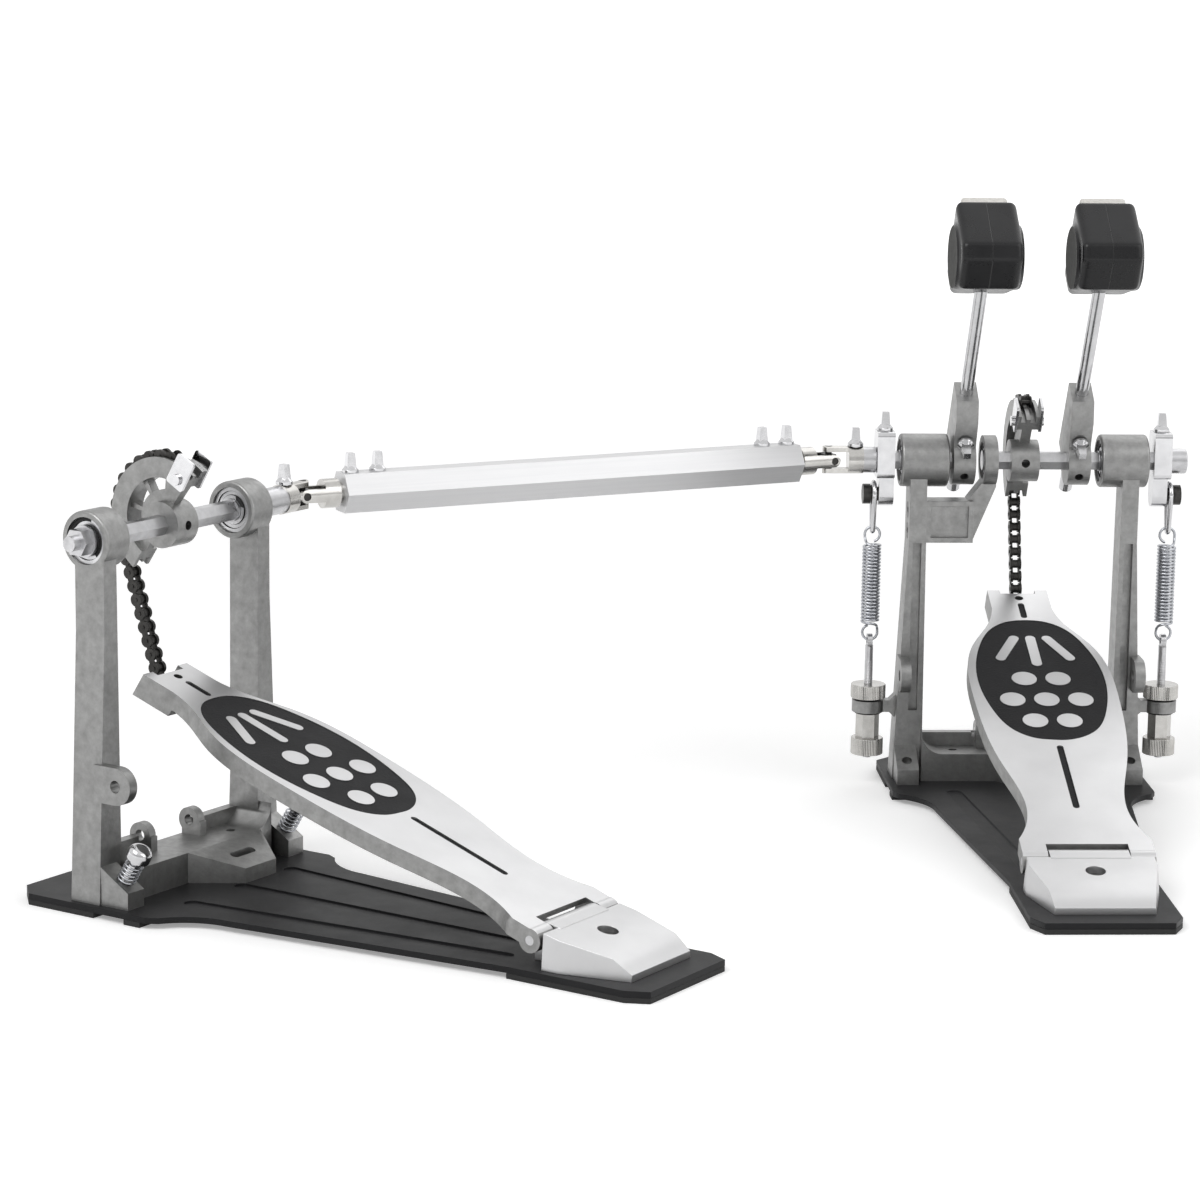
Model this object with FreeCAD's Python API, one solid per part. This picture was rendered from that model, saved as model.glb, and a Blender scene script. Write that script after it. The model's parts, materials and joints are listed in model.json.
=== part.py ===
import FreeCAD, Part
import math
import os

V = FreeCAD.Vector
X_AXIS = V(1, 0, 0)
Y_AXIS = V(0, 1, 0)
Z_AXIS = V(0, 0, 1)

# Sizes shared by the whole pedal, in millimetres and degrees.
# Each pedal has its own frame: x along the axle, y towards the drum, z up, zero on the floor under the axle.
AXLE_HEIGHT = 198.2
SLAVE_X = -493.0
SLAVE_Y = -225.8
SLAVE_TURN = 53.5
RUN_FIT = 0.05
SEAT_FIT = 0.05
PART_GAP = 0.4
OVERRUN = 2.0

# Base plates and rubber
RUBBER = 3.0
PLATE = 3.3
PLATE_TOE_Y = 46.0
PLATE_HEEL_Y = -330.0
PLATE_TOE_HALF = 78.5
PLATE_NECK_HALF = 58.0
PLATE_TAIL_HALF = 40.5
PLATE_CHAMFER = 12.0
PLATE_SHOULDER_Y = -46.0
PLATE_NECK_Y = -84.0
PLATE_TAIL_Y = -248.0
PAD_TOE_Y = -11.0
PAD_TAB_Y = -42.5
PAD_TAB_LENGTH = 11.0
PAD_TAB_WIDTH = 12.0
GROOVE_WIDTH = 9.0
GROOVE_DEPTH = 1.0
GROOVE_TOE_Y = -48.0
GROOVE_HEEL_Y = -236.0
GROOVE_TOE_X = 42.0
GROOVE_HEEL_X = 24.0

# Cast frames
PILLAR_INNER = 58.5
PILLAR_OUTER = 68.5
PILLAR_FOOT_INNER = 57.0
PILLAR_FOOT_OUTER = 75.0
PILLAR_FRONT = -12.5
PILLAR_BACK = 7.0
PILLAR_FOOT_BACK = 9.0
CHANNEL_LOW = 48.0
CHANNEL_DROP = 48.2
CHANNEL_HIGH = AXLE_HEIGHT - CHANNEL_DROP
CHANNEL_DEPTH = 4.5
CHANNEL_WALL = 2.4
HUB_RADIUS = 15.8
HUB_FILLET = 1.5
MAIN_HUB_INNER = 45.5
MAIN_HUB_OUTER = 74.0
SLAVE_HUB_INNER = 50.5
SLAVE_HUB_OUTER = 68.5
BAR_FRONT = -21.0
BAR_BACK = 9.0
BAR_TOP = 23.0
WALL_FRONT = 3.0
WALL_TOP = 31.0
CORNER_FILLET = 13.0
TONGUE_FRONT = -46.0
TONGUE_HALF = 13.0
TONGUE_ROOT_HALF = 31.0
TONGUE_X = 18.0
TONGUE_TOP = 14.5
TONGUE_SLOT_LENGTH = 14.0
TONGUE_SLOT_WIDTH = 5.0
FOOT_INNER = 61.0
FOOT_OUTER = 74.0
FOOT_FRONT = -31.0
FOOT_NOSE_TOP = 15.5
FOOT_TOP = 27.0
LUG_HEIGHT = 71.4
LUG_RADIUS = 10.0
LUG_REACH = 10.0
LUG_THICK = 6.0
LUG_INSET = 1.3
LUG_HOLE = 3.4
EAR_INNER = 18.0
EAR_THICK = 5.0
EAR_FRONT = -4.0
EAR_HOLE_Y = 4.0
EAR_HOLE_Z = 31.0
EAR_RADIUS = 7.0
BAR_HOLE = 2.5
BAR_HOLE_X = 38.0
SPRING_X = 89.0
RING_RADIUS = 9.6
RING_LOW = 45.0
RING_HIGH = 52.2
RING_BORE = 5.0
RING_ARM = 8.0

# Spur screws of the slave pedal
SPUR_X = 67.5
SPUR_SEAT_Y = -24.0
SPUR_RADIUS = 3.0
SPUR_DOWN = 15.0
SPUR_NECK = 16.0
SPUR_HEAD_RADIUS = 6.5
SPUR_HEAD_HEIGHT = 7.0
SPUR_TIP = 5.0
SPUR_SPRING_RADIUS = 4.6
SPUR_SPRING_WIRE = 1.1
SPUR_SPRING_TURNS = 5
SPUR_SPRING_RISE = 12.5

# Axles and bearings
HEX = 10.0
JOURNAL = 6.0
BEARING_RADIUS = 12.5
BEARING_RECESS = 1.5
SHIELD_DEPTH = 0.8
SHIELD_WALL = 2.2
MID_RING_RADIUS = 15.0
MID_RING_LEFT = -24.5
MID_RING_RIGHT = -16.5
MID_BEARING_RADIUS = 11.0
BRACKET_LOW_DROP = 48.2
BRACKET_LOW = AXLE_HEIGHT - BRACKET_LOW_DROP
BRACKET_HIGH_DROP = 23.2
BRACKET_HIGH = AXLE_HEIGHT - BRACKET_HIGH_DROP
BRACKET_END = -30.0
BRACKET_FRONT = -11.0
BRACKET_BACK = 4.5
BRACKET_RIB = 3.0
ARM_FRONT = -7.0
ARM_BACK = 7.0
SCREW_RADIUS = 3.0
SCREW_HEAD = 5.0
SCREW_HEAD_HEIGHT = 4.0
AXLE_CAP_RADIUS = 7.5
RIGHT_AXLE_END = 98.2
STUB_RADIUS = 7.75
NUT_FLAT = 13.0
NUT_HEIGHT = 6.0
WASHER_RADIUS = 8.5
WASHER_HEIGHT = 1.5
SLAVE_BOLT_RADIUS = 4.0
SLAVE_BOLT_LENGTH = 5.0

# Key screws with square heads
KEY_RADIUS = 3.0
KEY_FLANGE = 4.8
KEY_FLANGE_HEIGHT = 1.6
KEY_SKIRT_HEIGHT = 2.2
KEY_HEAD = 5.6
KEY_TIP = 4.2
KEY_HEIGHT = 9.5
KNURL_SHARE = 0.03
KNURL_TEETH = 60

# Footboards, measured from the hinge pin along the board, across it and square to it
HINGE_Y = -259.0
HINGE_Z = 20.5
BOARD_TILT = 19.15
BOARD_LENGTH = 287.5
BOARD_HEEL = 6.5
BOARD_HALF = 42.0
BOARD_TOP = 6.0
BOARD_PLATE = 3.6
BOARD_SKIRT = 9.5
BOARD_WALL = 4.0
KNUCKLE = 6.4
NOTCH_HALF = 22.4
NOTCH_DEPTH = 8.0
PIN_RADIUS = 2.5
BOARD_NECK_SHARE = 0.925
TOE_HALF = 18.0
TOE_LOBE = 4.0
TOE_GAP_HALF = 10.5
TOE_DROP = 14.0
TOE_SLANT = 3.5
TOE_BOSS_LENGTH = 26.0
TOE_HOLE = 2.5
TOE_HOLE_BACK = 9.5
TOE_PIN_BACK = 0.5
TOE_PIN_DROP = 8.0
TOE_PIN_RADIUS = 1.1
TOE_EYE_FIT = 1.4
TOE_SLOT_LENGTH = 17.5
TOE_SLOT_START = 250.0
LONG_SLOT_START = 45.0
LONG_SLOT_LENGTH = 64.0
SLOT_WIDTH = 3.8
SLOT_DEPTH = 0.8
TREAD_DEPTH = 1.0
TREAD = 0.7
TREAD_START = 113.0
TREAD_LENGTH = 132.5
TREAD_HALF = 37.0
TREAD_FIT = 0.15
DOT_RADIUS = 7.3
DOT_STEP = 19.7
DOT_ROW = 22.8
DOT_MIDDLE = 156.5
BAR_WIDTH = 6.0
BAR_START = 193.5
BAR_LENGTH = 34.0
BAR_FAN_TOP = 9.8
BAR_FAN_LOW = 20.3
BAR_FAN_SHORT = 6.0
# Outline of one edge from heel to toe: share of the half width, share of the length from the hinge pin.
BOARD_WAIST_SHARES = ((0.86, 0.068), (0.66, 0.190), (0.845, 0.335), (1.0, 0.570), (0.825, 0.780),
                      (0.52, 0.870))
TREAD_SHARES = ((0.30, 0.012), (0.62, 0.075), (0.86, 0.22), (1.0, 0.50), (0.81, 0.80), (0.55, 0.935),
                (0.28, 0.988))

# Heel plates
HEEL_FRONT_Y = -314.0
HEEL_TOP = 26.6
HEEL_LIP_TOP = 17.0
HEEL_NOSE_TOP = 10.0
HEEL_LIP = 10.0
HEEL_HALF = 36.0
HEEL_NOSE_HALF = 27.0
HEEL_DRAFT = 1.5
TONGUE_SIDE_GAP = 0.6
HEEL_SCREW_Y = -282.0
HEEL_SCREW_SINK = 3.0

# Chain, cam and clip
CAM_Y = 2.0
CAM_RISE = 2.5
CHAIN_CIRCLE = 33.5
RUN_LINKS = 11
FREE_LINKS = 2
HELD_LINKS = 7
ROLLER = 2.5
LINK_PIN = 1.15
LINK_HALF_HEIGHT = 3.5
LINK_WAIST_SHARE = 0.5
LINK_PLATE = 0.8
LINK_INNER_HALF = 1.6
LINK_SIDE_GAP = 0.15
CAM_RIB_HALF = 1.2
CAM_SINK = 1.4
CAM_FLANGE = 2.2
CAM_FLANGE_GAP = 0.5
CAM_RIM = 6.0
CAM_HUB_RADIUS = 12.5
CAM_HUB_HALF = 8.4
CAM_WEB_HALF = 3.0
CAM_LOW_ANGLE = -56.0
CAM_HIGH_ANGLE = 128.0
CAM_WINDOW_REACH = 15.5
CAM_WINDOW_START = -24.0
CAM_WINDOW_STEP = 42.0
CAM_WINDOW_SPAN = 34.0
CAM_WINDOWS = 3
CLIP_PLATE = 1.6
CLIP_LENGTH = 12.0
CLIP_HEIGHT = 9.0
CLIP_ANGLE = 120.0
CLIP_SCREW = 2.0
CLIP_RIVET = 3.0
SET_SCREW = 2.5

# Beaters
BEATER_RIGHT_X = 32.2
BEATER_LEFT_X = -36.5
BEATER_LEAN = 34.0
BEATER_HUB_WIDTH = 13.2
BEATER_HUB_RADIUS = 14.5
BEATER_HUB_TOP = 41.0
BEATER_HUB_RIDGE = 7.5
BEATER_HUB_RIDGE_DROP = 11.0
BEATER_ROD_OFFSET = 15.4
BEATER_ROD_RADIUS = 4.0
BEATER_HUB_WALL = 4.5
BEATER_ROD_LOW = -36.5
BEATER_HEAD_REACH = 140.8
HEAD_WIDTH = 35.2
HEAD_HEIGHT = 53.6
HEAD_DEPTH = 44.5
HEAD_BROW = 6.5
HEAD_FRONT = 21.5
HEAD_ROUND = 3.2
HEAD_ROD_SHARE = 0.58
HEAD_DISC_RADIUS = 18.5
HEAD_DISC_RISE = 3.5
HEAD_DISC = 2.2
FELT_DEPTH = 13.0
FELT_HEIGHT = 46.6
FELT_WIDTH = 27.0
FELT_SINK = 4.0
FELT_SIT = 0.05

# Spring rockers, hooks and springs
ROCKER_INNER = 77.7
ROCKER_THICK = 10.5
ROCKER_HALF = 10.0
ROCKER_TOP = 17.8
ROCKER_PIN_DROP = 20.5
ROCKER_LOBE = 7.0
BUSH_RADIUS = 6.0
BUSH_GROOVE = 4.2
BUSH_LENGTH = 4.4
GROOVE_LENGTH = 4.2
HOOK_WIRE = 1.5
HOOK_TOP_RADIUS = 6.9
HOOK_LOW_RADIUS = 3.0
SPRING_WIRE = 0.8
SPRING_RADIUS = 4.95
SPRING_TURNS = 23
SPRING_LENGTH = 47.5
HOOK_DROP = 30.7
LOOP_RADIUS = 4.5
LOOP_RISE = 6.2
LOOP_TURN = 255.0
EYE_ROD = 2.4
EYE_RADIUS = 4.3
EYE_HOLE = 2.0
EYE_THICK = 3.0
EYE_ROD_LOW = 16.5
NUT_RADIUS = 10.5
NUT_THICK = 8.4
NUT_WASHER_RADIUS = 8.0
NUT_WASHER = 1.2
LOCK_FLAT = 12.3
LOCK_HEIGHT = 15.0
LOCK_NUT_RADIUS = 9.7
LOCK_NUT_HEIGHT = 10.0

# Drive shaft and universal joints
MAIN_CROSS_X = -116.5
SLAVE_CROSS_X = 113.5
YOKE_RADIUS = 8.3
YOKE_GAP_HALF = 5.0
YOKE_ARM_HALF = 3.7
YOKE_BASE = 11.5
YOKE_SHANK = 9.0
CROSS_PIN = 2.0
CROSS_PIN_FIT = 0.25
CROSS_BLOCK = 3.4
CROSS_PIN_REACH = 7.9
TUBE_FLAT = 22.0
TUBE_START = 23.0
STEM_RADIUS = 6.0
STEM_LENGTH = 60.0
TUBE_SCREW_FIRST = 6.0
TUBE_SCREW_STEP = 16.5

# Hoop clamp of the main pedal
JAW_HALF = 15.0
JAW_BACK_Y = 43.0
JAW_FRONT_Y = -15.0
JAW_THICK = 6.0
JAW_LIP = 7.0
HOOP_SPACE = 17.0
JAW_BARREL = 7.0
JAW_SCREW_Y = -9.0
JAW_SCREW_RADIUS = 3.5
JAW_SCREW_HEAD = 14.0
PIVOT_RADIUS = 3.0

# Values worked out from the sizes above
FLOOR_TOP = RUBBER + PLATE
SPRING_HIGH = AXLE_HEIGHT - ROCKER_PIN_DROP - HOOK_DROP
SPRING_LOW = SPRING_HIGH - SPRING_LENGTH
HALF = 0.5


def box(x0, x1, y0, y1, z0, z1):
    return Part.makeBox(x1 - x0, y1 - y0, z1 - z0, V(x0, y0, z0))


def rod(radius, start, end):
    axis = end - start
    return Part.makeCylinder(radius, axis.Length, start, axis)


def ring(outer, inner, start, end):
    return rod(outer, start, end).cut(rod(inner, start, end))


def join(first, *others):
    return first.fuse(list(others)).removeSplitter()


def group(*solids):
    return Part.makeCompound([solid for shape in solids for solid in shape.Solids])


def prism(points, direction):
    """A straight prism of a polygon."""
    return Part.Face(Part.makePolygon(points + points[:1])).extrude(direction)


def prism_x(points, x0, x1):
    return prism([V(x0, y, z) for y, z in points], V(x1 - x0, 0, 0))


def prism_y(points, y0, y1):
    return prism([V(x, y0, z) for x, z in points], V(0, y1 - y0, 0))


def prism_z(points, z0, z1):
    return prism([V(x, y, z0) for x, y in points], V(0, 0, z1 - z0))


def hex_bar(flat, start, end, up):
    """A hexagon bar with a corner along the direction up."""
    axis = end - start
    side = axis.cross(up).normalize()
    reach = flat / math.sqrt(3)
    corners = []
    for k in range(6):
        angle = math.radians(60 * k)
        corners.append(start + up * (reach * math.cos(angle)) + side * (reach * math.sin(angle)))
    return prism(corners, axis)


def slot_z(width, x0, y0, x1, y1, z0, z1):
    """A straight slot with round ends, cut square to z."""
    run = V(x1 - x0, y1 - y0, 0)
    side = V(-run.y, run.x, 0).normalize() * (width * HALF)
    along = V(run).normalize() * (width * HALF)
    a = V(x0, y0, z0)
    b = V(x1, y1, z0)
    edges = [
        Part.LineSegment(a + side, b + side).toShape(),
        Part.Arc(b + side, b + along, b - side).toShape(),
        Part.LineSegment(b - side, a - side).toShape(),
        Part.Arc(a - side, a - along, a + side).toShape(),
    ]
    return Part.Face(Part.Wire(edges)).extrude(V(0, 0, z1 - z0))


def turned(shape, axis, degrees, centre=V(0, 0, 0)):
    copy = shape.copy()
    copy.rotate(centre, axis, degrees)
    return copy


def moved(shape, offset):
    copy = shape.copy()
    copy.translate(offset)
    return copy


def mirrored(shape):
    return shape.mirror(V(0, 0, 0), X_AXIS)


def at_slave(shape):
    return moved(turned(shape, Z_AXIS, SLAVE_TURN), V(SLAVE_X, SLAVE_Y, 0))


def at_board(shape):
    """From the board's own frame, along y and square to z, to the pedal's frame."""
    return moved(turned(shape, X_AXIS, BOARD_TILT), V(0, HINGE_Y, HINGE_Z))


def aimed(shape, base, direction):
    """A shape made along z from the origin, stood on base and aimed along direction."""
    copy = shape.copy()
    copy.Placement = FreeCAD.Placement(base, FreeCAD.Rotation(Z_AXIS, direction))
    return copy


def smooth_edge(points):
    curve = Part.BSplineCurve()
    curve.interpolate(points)
    return curve.toShape()


def arc_from(start, tangent, end):
    """The arc that leaves start along tangent and reaches end."""
    chord = end - start
    across = chord.normalize()
    length = (end - start).Length
    swing = math.acos(max(-1, min(1, tangent.dot(across))))
    bulge = tangent - across * tangent.dot(across)
    if bulge.Length * length < Part.Vertex(start).Tolerance:
        return Part.LineSegment(start, end).toShape()
    bulge.normalize()
    middle = (start + end) * HALF + bulge * (length * HALF * math.tan(swing * HALF))
    return Part.Arc(start, middle, end).toShape()


def biarc(start, tangent, end, end_tangent):
    """Two arcs that meet smoothly between two points with given directions."""
    span = end - start
    both = tangent + end_tangent
    spread = 2 * (1 - tangent.dot(end_tangent))
    if spread < Part.Vertex(start).Tolerance:
        reach = span.dot(span) / (2 * span.dot(both))
    else:
        root = math.sqrt(span.dot(both) ** 2 + spread * span.dot(span))
        reach = (root - span.dot(both)) / spread
    meet = (start + tangent * reach + end - end_tangent * reach) * HALF
    first = arc_from(start, tangent, meet)
    last = arc_from(end, end_tangent * -1, meet)
    last.reverse()
    return [first, last]


def wire_tube(stations, radius):
    """One unbroken round wire through stations of a point and a direction each."""
    edges = []
    for (start, tangent), (end, end_tangent) in zip(stations, stations[1:]):
        edges += biarc(start, tangent, end, end_tangent)
    path = Part.Wire(edges)
    section = Part.Wire([Part.makeCircle(radius, stations[0][0], stations[0][1])])
    return path.makePipeShell([section], True, False), path


def least_gap(path, radius, skip):
    """The least clear distance of a wire to itself, between points further apart along it than skip."""
    step = radius * HALF
    points = path.discretize(Distance=step)
    apart = int(skip / step)
    least = path.Length
    for i, point in enumerate(points):
        for other in points[i + apart:]:
            least = min(least, point.distanceToPoint(other))
    return least - 2 * radius


def coil_stations(radius, low, high, turns, start_angle):
    """Stations of a helix along z, four to each turn."""
    rise = (high - low) / turns
    slope = rise / (2 * math.pi * radius)
    stations = []
    for k in range(4 * turns + 1):
        angle = math.radians(start_angle + 90 * k)
        point = V(radius * math.cos(angle), radius * math.sin(angle), low + rise * k / 4)
        tangent = V(-math.sin(angle), math.cos(angle), slope).normalize()
        stations.append((point, tangent))
    return stations


def key_screw(base, direction, shank):
    """A drum key screw: its flange seats at base and its shank goes in by shank."""
    skirt_low = KEY_FLANGE_HEIGHT
    skirt_high = skirt_low + KEY_SKIRT_HEIGHT
    head_half = KEY_HEAD * HALF
    tip_half = KEY_TIP * HALF
    body = join(
        Part.makeCylinder(KEY_RADIUS, shank + KEY_FLANGE_HEIGHT, V(0, 0, -shank)),
        Part.makeCylinder(KEY_FLANGE, KEY_FLANGE_HEIGHT),
        Part.makeCone(KEY_FLANGE, head_half, KEY_SKIRT_HEIGHT, V(0, 0, skirt_low)),
    )
    squares = []
    for half, height in ((head_half, skirt_low), (tip_half, skirt_high + KEY_HEIGHT - KEY_SKIRT_HEIGHT)):
        corners = [V(x * half, y * half, height) for x, y in ((-1, -1), (1, -1), (1, 1), (-1, 1), (-1, -1))]
        squares.append(Part.makePolygon(corners))
    head = Part.makeLoft(squares, True, True)
    return aimed(join(body, head), base, direction)


def cap_screw(base, direction, shank):
    """A round socket screw whose head seats at base."""
    body = join(
        Part.makeCylinder(SCREW_RADIUS, shank, V(0, 0, -shank)),
        Part.makeCylinder(SCREW_HEAD, SCREW_HEAD_HEIGHT),
    )
    socket = hex_bar(SCREW_RADIUS, V(0, 0, SCREW_HEAD_HEIGHT * HALF), V(0, 0, SCREW_HEAD_HEIGHT + OVERRUN),
                     X_AXIS)
    return aimed(body.cut(socket), base, direction)


def knurled(radius, low, high, teeth):
    """A knurled nut: a disc whose rim is a ring of small teeth, bevelled at both ends."""
    depth = radius * KNURL_SHARE
    corners = []
    for k in range(2 * teeth):
        reach = radius - depth * (k % 2)
        angle = math.pi * k / teeth
        corners.append((reach * math.cos(angle), reach * math.sin(angle)))
    disc = prism_z(corners, low, high)
    tall = high - low
    middle = Part.makeCylinder(radius, tall - 2 * depth, V(0, 0, low + depth))
    lower = Part.makeCone(radius - depth, radius, depth, V(0, 0, low))
    upper = Part.makeCone(radius, radius - depth, depth, V(0, 0, high - depth))
    return disc.common(join(middle, lower, upper))


def plate_outline():
    """Half outline of a base plate from toe to heel, as places across and along."""
    toe_in = PLATE_TOE_HALF - PLATE_CHAMFER
    heel_in = PLATE_TAIL_HALF - PLATE_CHAMFER * HALF
    return [
        (toe_in, PLATE_TOE_Y),
        (PLATE_TOE_HALF, PLATE_TOE_Y - PLATE_CHAMFER),
        (PLATE_TOE_HALF, PLATE_SHOULDER_Y),
        (PLATE_NECK_HALF, PLATE_NECK_Y),
        (PLATE_TAIL_HALF, PLATE_TAIL_Y),
        (PLATE_TAIL_HALF, PLATE_HEEL_Y + PLATE_CHAMFER),
        (heel_in, PLATE_HEEL_Y),
    ]


def both_sides(half):
    return half + [(-x, y) for x, y in reversed(half)]


def base_plate(spur_holes):
    """A folded plate with three long pressed grooves and a curved step at each shoulder."""
    plate = prism_z(both_sides(plate_outline()), RUBBER, FLOOR_TOP)
    step = PLATE_SHOULDER_Y - PLATE_NECK_Y
    for side in (-1, 1):
        scoop = rod(step, V(side * (PLATE_NECK_HALF + step), PLATE_NECK_Y, 0),
                    V(side * (PLATE_NECK_HALF + step), PLATE_NECK_Y, FLOOR_TOP + OVERRUN))
        corner = box(-OVERRUN, step, 0, step, 0, FLOOR_TOP + OVERRUN)
        corner = moved(corner, V(PLATE_NECK_HALF, PLATE_NECK_Y, 0))
        plate = plate.cut(scoop.common(corner if side > 0 else mirrored(corner)))
    groove_low = FLOOR_TOP - GROOVE_DEPTH
    groove_high = FLOOR_TOP + OVERRUN
    for side in (-1, 0, 1):
        toe_x = side * GROOVE_TOE_X
        heel_x = side * GROOVE_HEEL_X
        plate = plate.cut(slot_z(GROOVE_WIDTH, toe_x, GROOVE_TOE_Y, heel_x, GROOVE_HEEL_Y, groove_low,
                                 groove_high))
    if spur_holes:
        plate = plate.cut(spur_hole(-1)).cut(spur_hole(1))
    return plate


def rubber_pads():
    """A toe pad, two corner tabs and a heel pad under one base plate."""
    outline = plate_outline()
    toe = prism_z(both_sides(outline[:2] + [(PLATE_TOE_HALF, PAD_TOE_Y)]), 0, RUBBER)
    heel = prism_z(both_sides([(PLATE_TAIL_HALF, PLATE_TAIL_Y)] + outline[5:]), 0, RUBBER)
    tab_back = PAD_TAB_Y + PAD_TAB_LENGTH
    tab = box(PLATE_TOE_HALF - PAD_TAB_WIDTH, PLATE_TOE_HALF, PAD_TAB_Y, tab_back, 0, RUBBER)
    return group(toe, heel, tab, mirrored(tab))


def foot_slope():
    """Rise of the foot block's slanted face for each unit towards the drum."""
    return (FOOT_TOP - FOOT_NOSE_TOP) / (PILLAR_FRONT - FOOT_FRONT)


def spur_axis():
    """Square to the foot block's slanted face."""
    return V(0, -foot_slope(), 1).normalize()


def spur_seat(side):
    return V(side * SPUR_X, SPUR_SEAT_Y, FOOT_NOSE_TOP + foot_slope() * (SPUR_SEAT_Y - FOOT_FRONT))


def spur_hole(side):
    seat = spur_seat(side)
    axis = spur_axis()
    return rod(SPUR_RADIUS + PART_GAP, seat - axis * (SPUR_DOWN + PLATE_CHAMFER), seat + axis * SPUR_DOWN)


def pillar(slave):
    """The right pillar of a frame with its foot block and front lug, channelled on the main frame."""
    top = AXLE_HEIGHT - HUB_RADIUS * HALF
    shaft = prism_y([(PILLAR_FOOT_OUTER, FLOOR_TOP), (PILLAR_OUTER, CHANNEL_HIGH), (PILLAR_OUTER, top),
                     (PILLAR_INNER, top), (PILLAR_INNER, CHANNEL_HIGH), (PILLAR_FOOT_INNER, FLOOR_TOP)],
                    PILLAR_FRONT, PILLAR_BACK)
    rear = prism_x([(PILLAR_BACK, FLOOR_TOP), (PILLAR_FOOT_BACK, FLOOR_TOP), (PILLAR_FOOT_BACK, BAR_TOP),
                    (PILLAR_BACK, LUG_HEIGHT)], PILLAR_INNER, PILLAR_OUTER)
    channel_back = PILLAR_FRONT + CHANNEL_DEPTH
    channel = prism_y([(PILLAR_FOOT_OUTER - CHANNEL_WALL - CORNER_FILLET * HALF, CHANNEL_LOW),
                       (PILLAR_OUTER - CHANNEL_WALL, CHANNEL_HIGH),
                       (PILLAR_INNER + CHANNEL_WALL, CHANNEL_HIGH),
                       (PILLAR_INNER + CHANNEL_WALL, CHANNEL_LOW)], PILLAR_FRONT - OVERRUN, channel_back)
    foot = prism_x([(PILLAR_FRONT, FLOOR_TOP), (PILLAR_FRONT, FOOT_TOP), (FOOT_FRONT, FOOT_NOSE_TOP),
                    (FOOT_FRONT, FLOOR_TOP)], FOOT_INNER, FOOT_OUTER)
    lug_x = PILLAR_OUTER - LUG_INSET
    lug_y = PILLAR_FRONT - LUG_REACH
    eye = rod(LUG_RADIUS, V(lug_x, lug_y, LUG_HEIGHT), V(lug_x + LUG_THICK, lug_y, LUG_HEIGHT))
    root = box(lug_x, lug_x + LUG_THICK, lug_y, channel_back, LUG_HEIGHT - LUG_RADIUS,
               LUG_HEIGHT + LUG_RADIUS)
    hole = rod(LUG_HOLE, V(lug_x - OVERRUN, lug_y, LUG_HEIGHT),
               V(lug_x + LUG_THICK + OVERRUN, lug_y, LUG_HEIGHT))
    if slave:
        return join(shaft, rear, foot, eye, root).cut(hole).cut(spur_hole(1))
    body = join(shaft, rear).cut(channel)
    body = join(body, foot, eye, root).cut(hole)
    seat = spur_seat(1)
    return body.cut(rod(SPUR_RADIUS, seat - spur_axis() * SPUR_TIP, seat + spur_axis() * SPUR_TIP))


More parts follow.
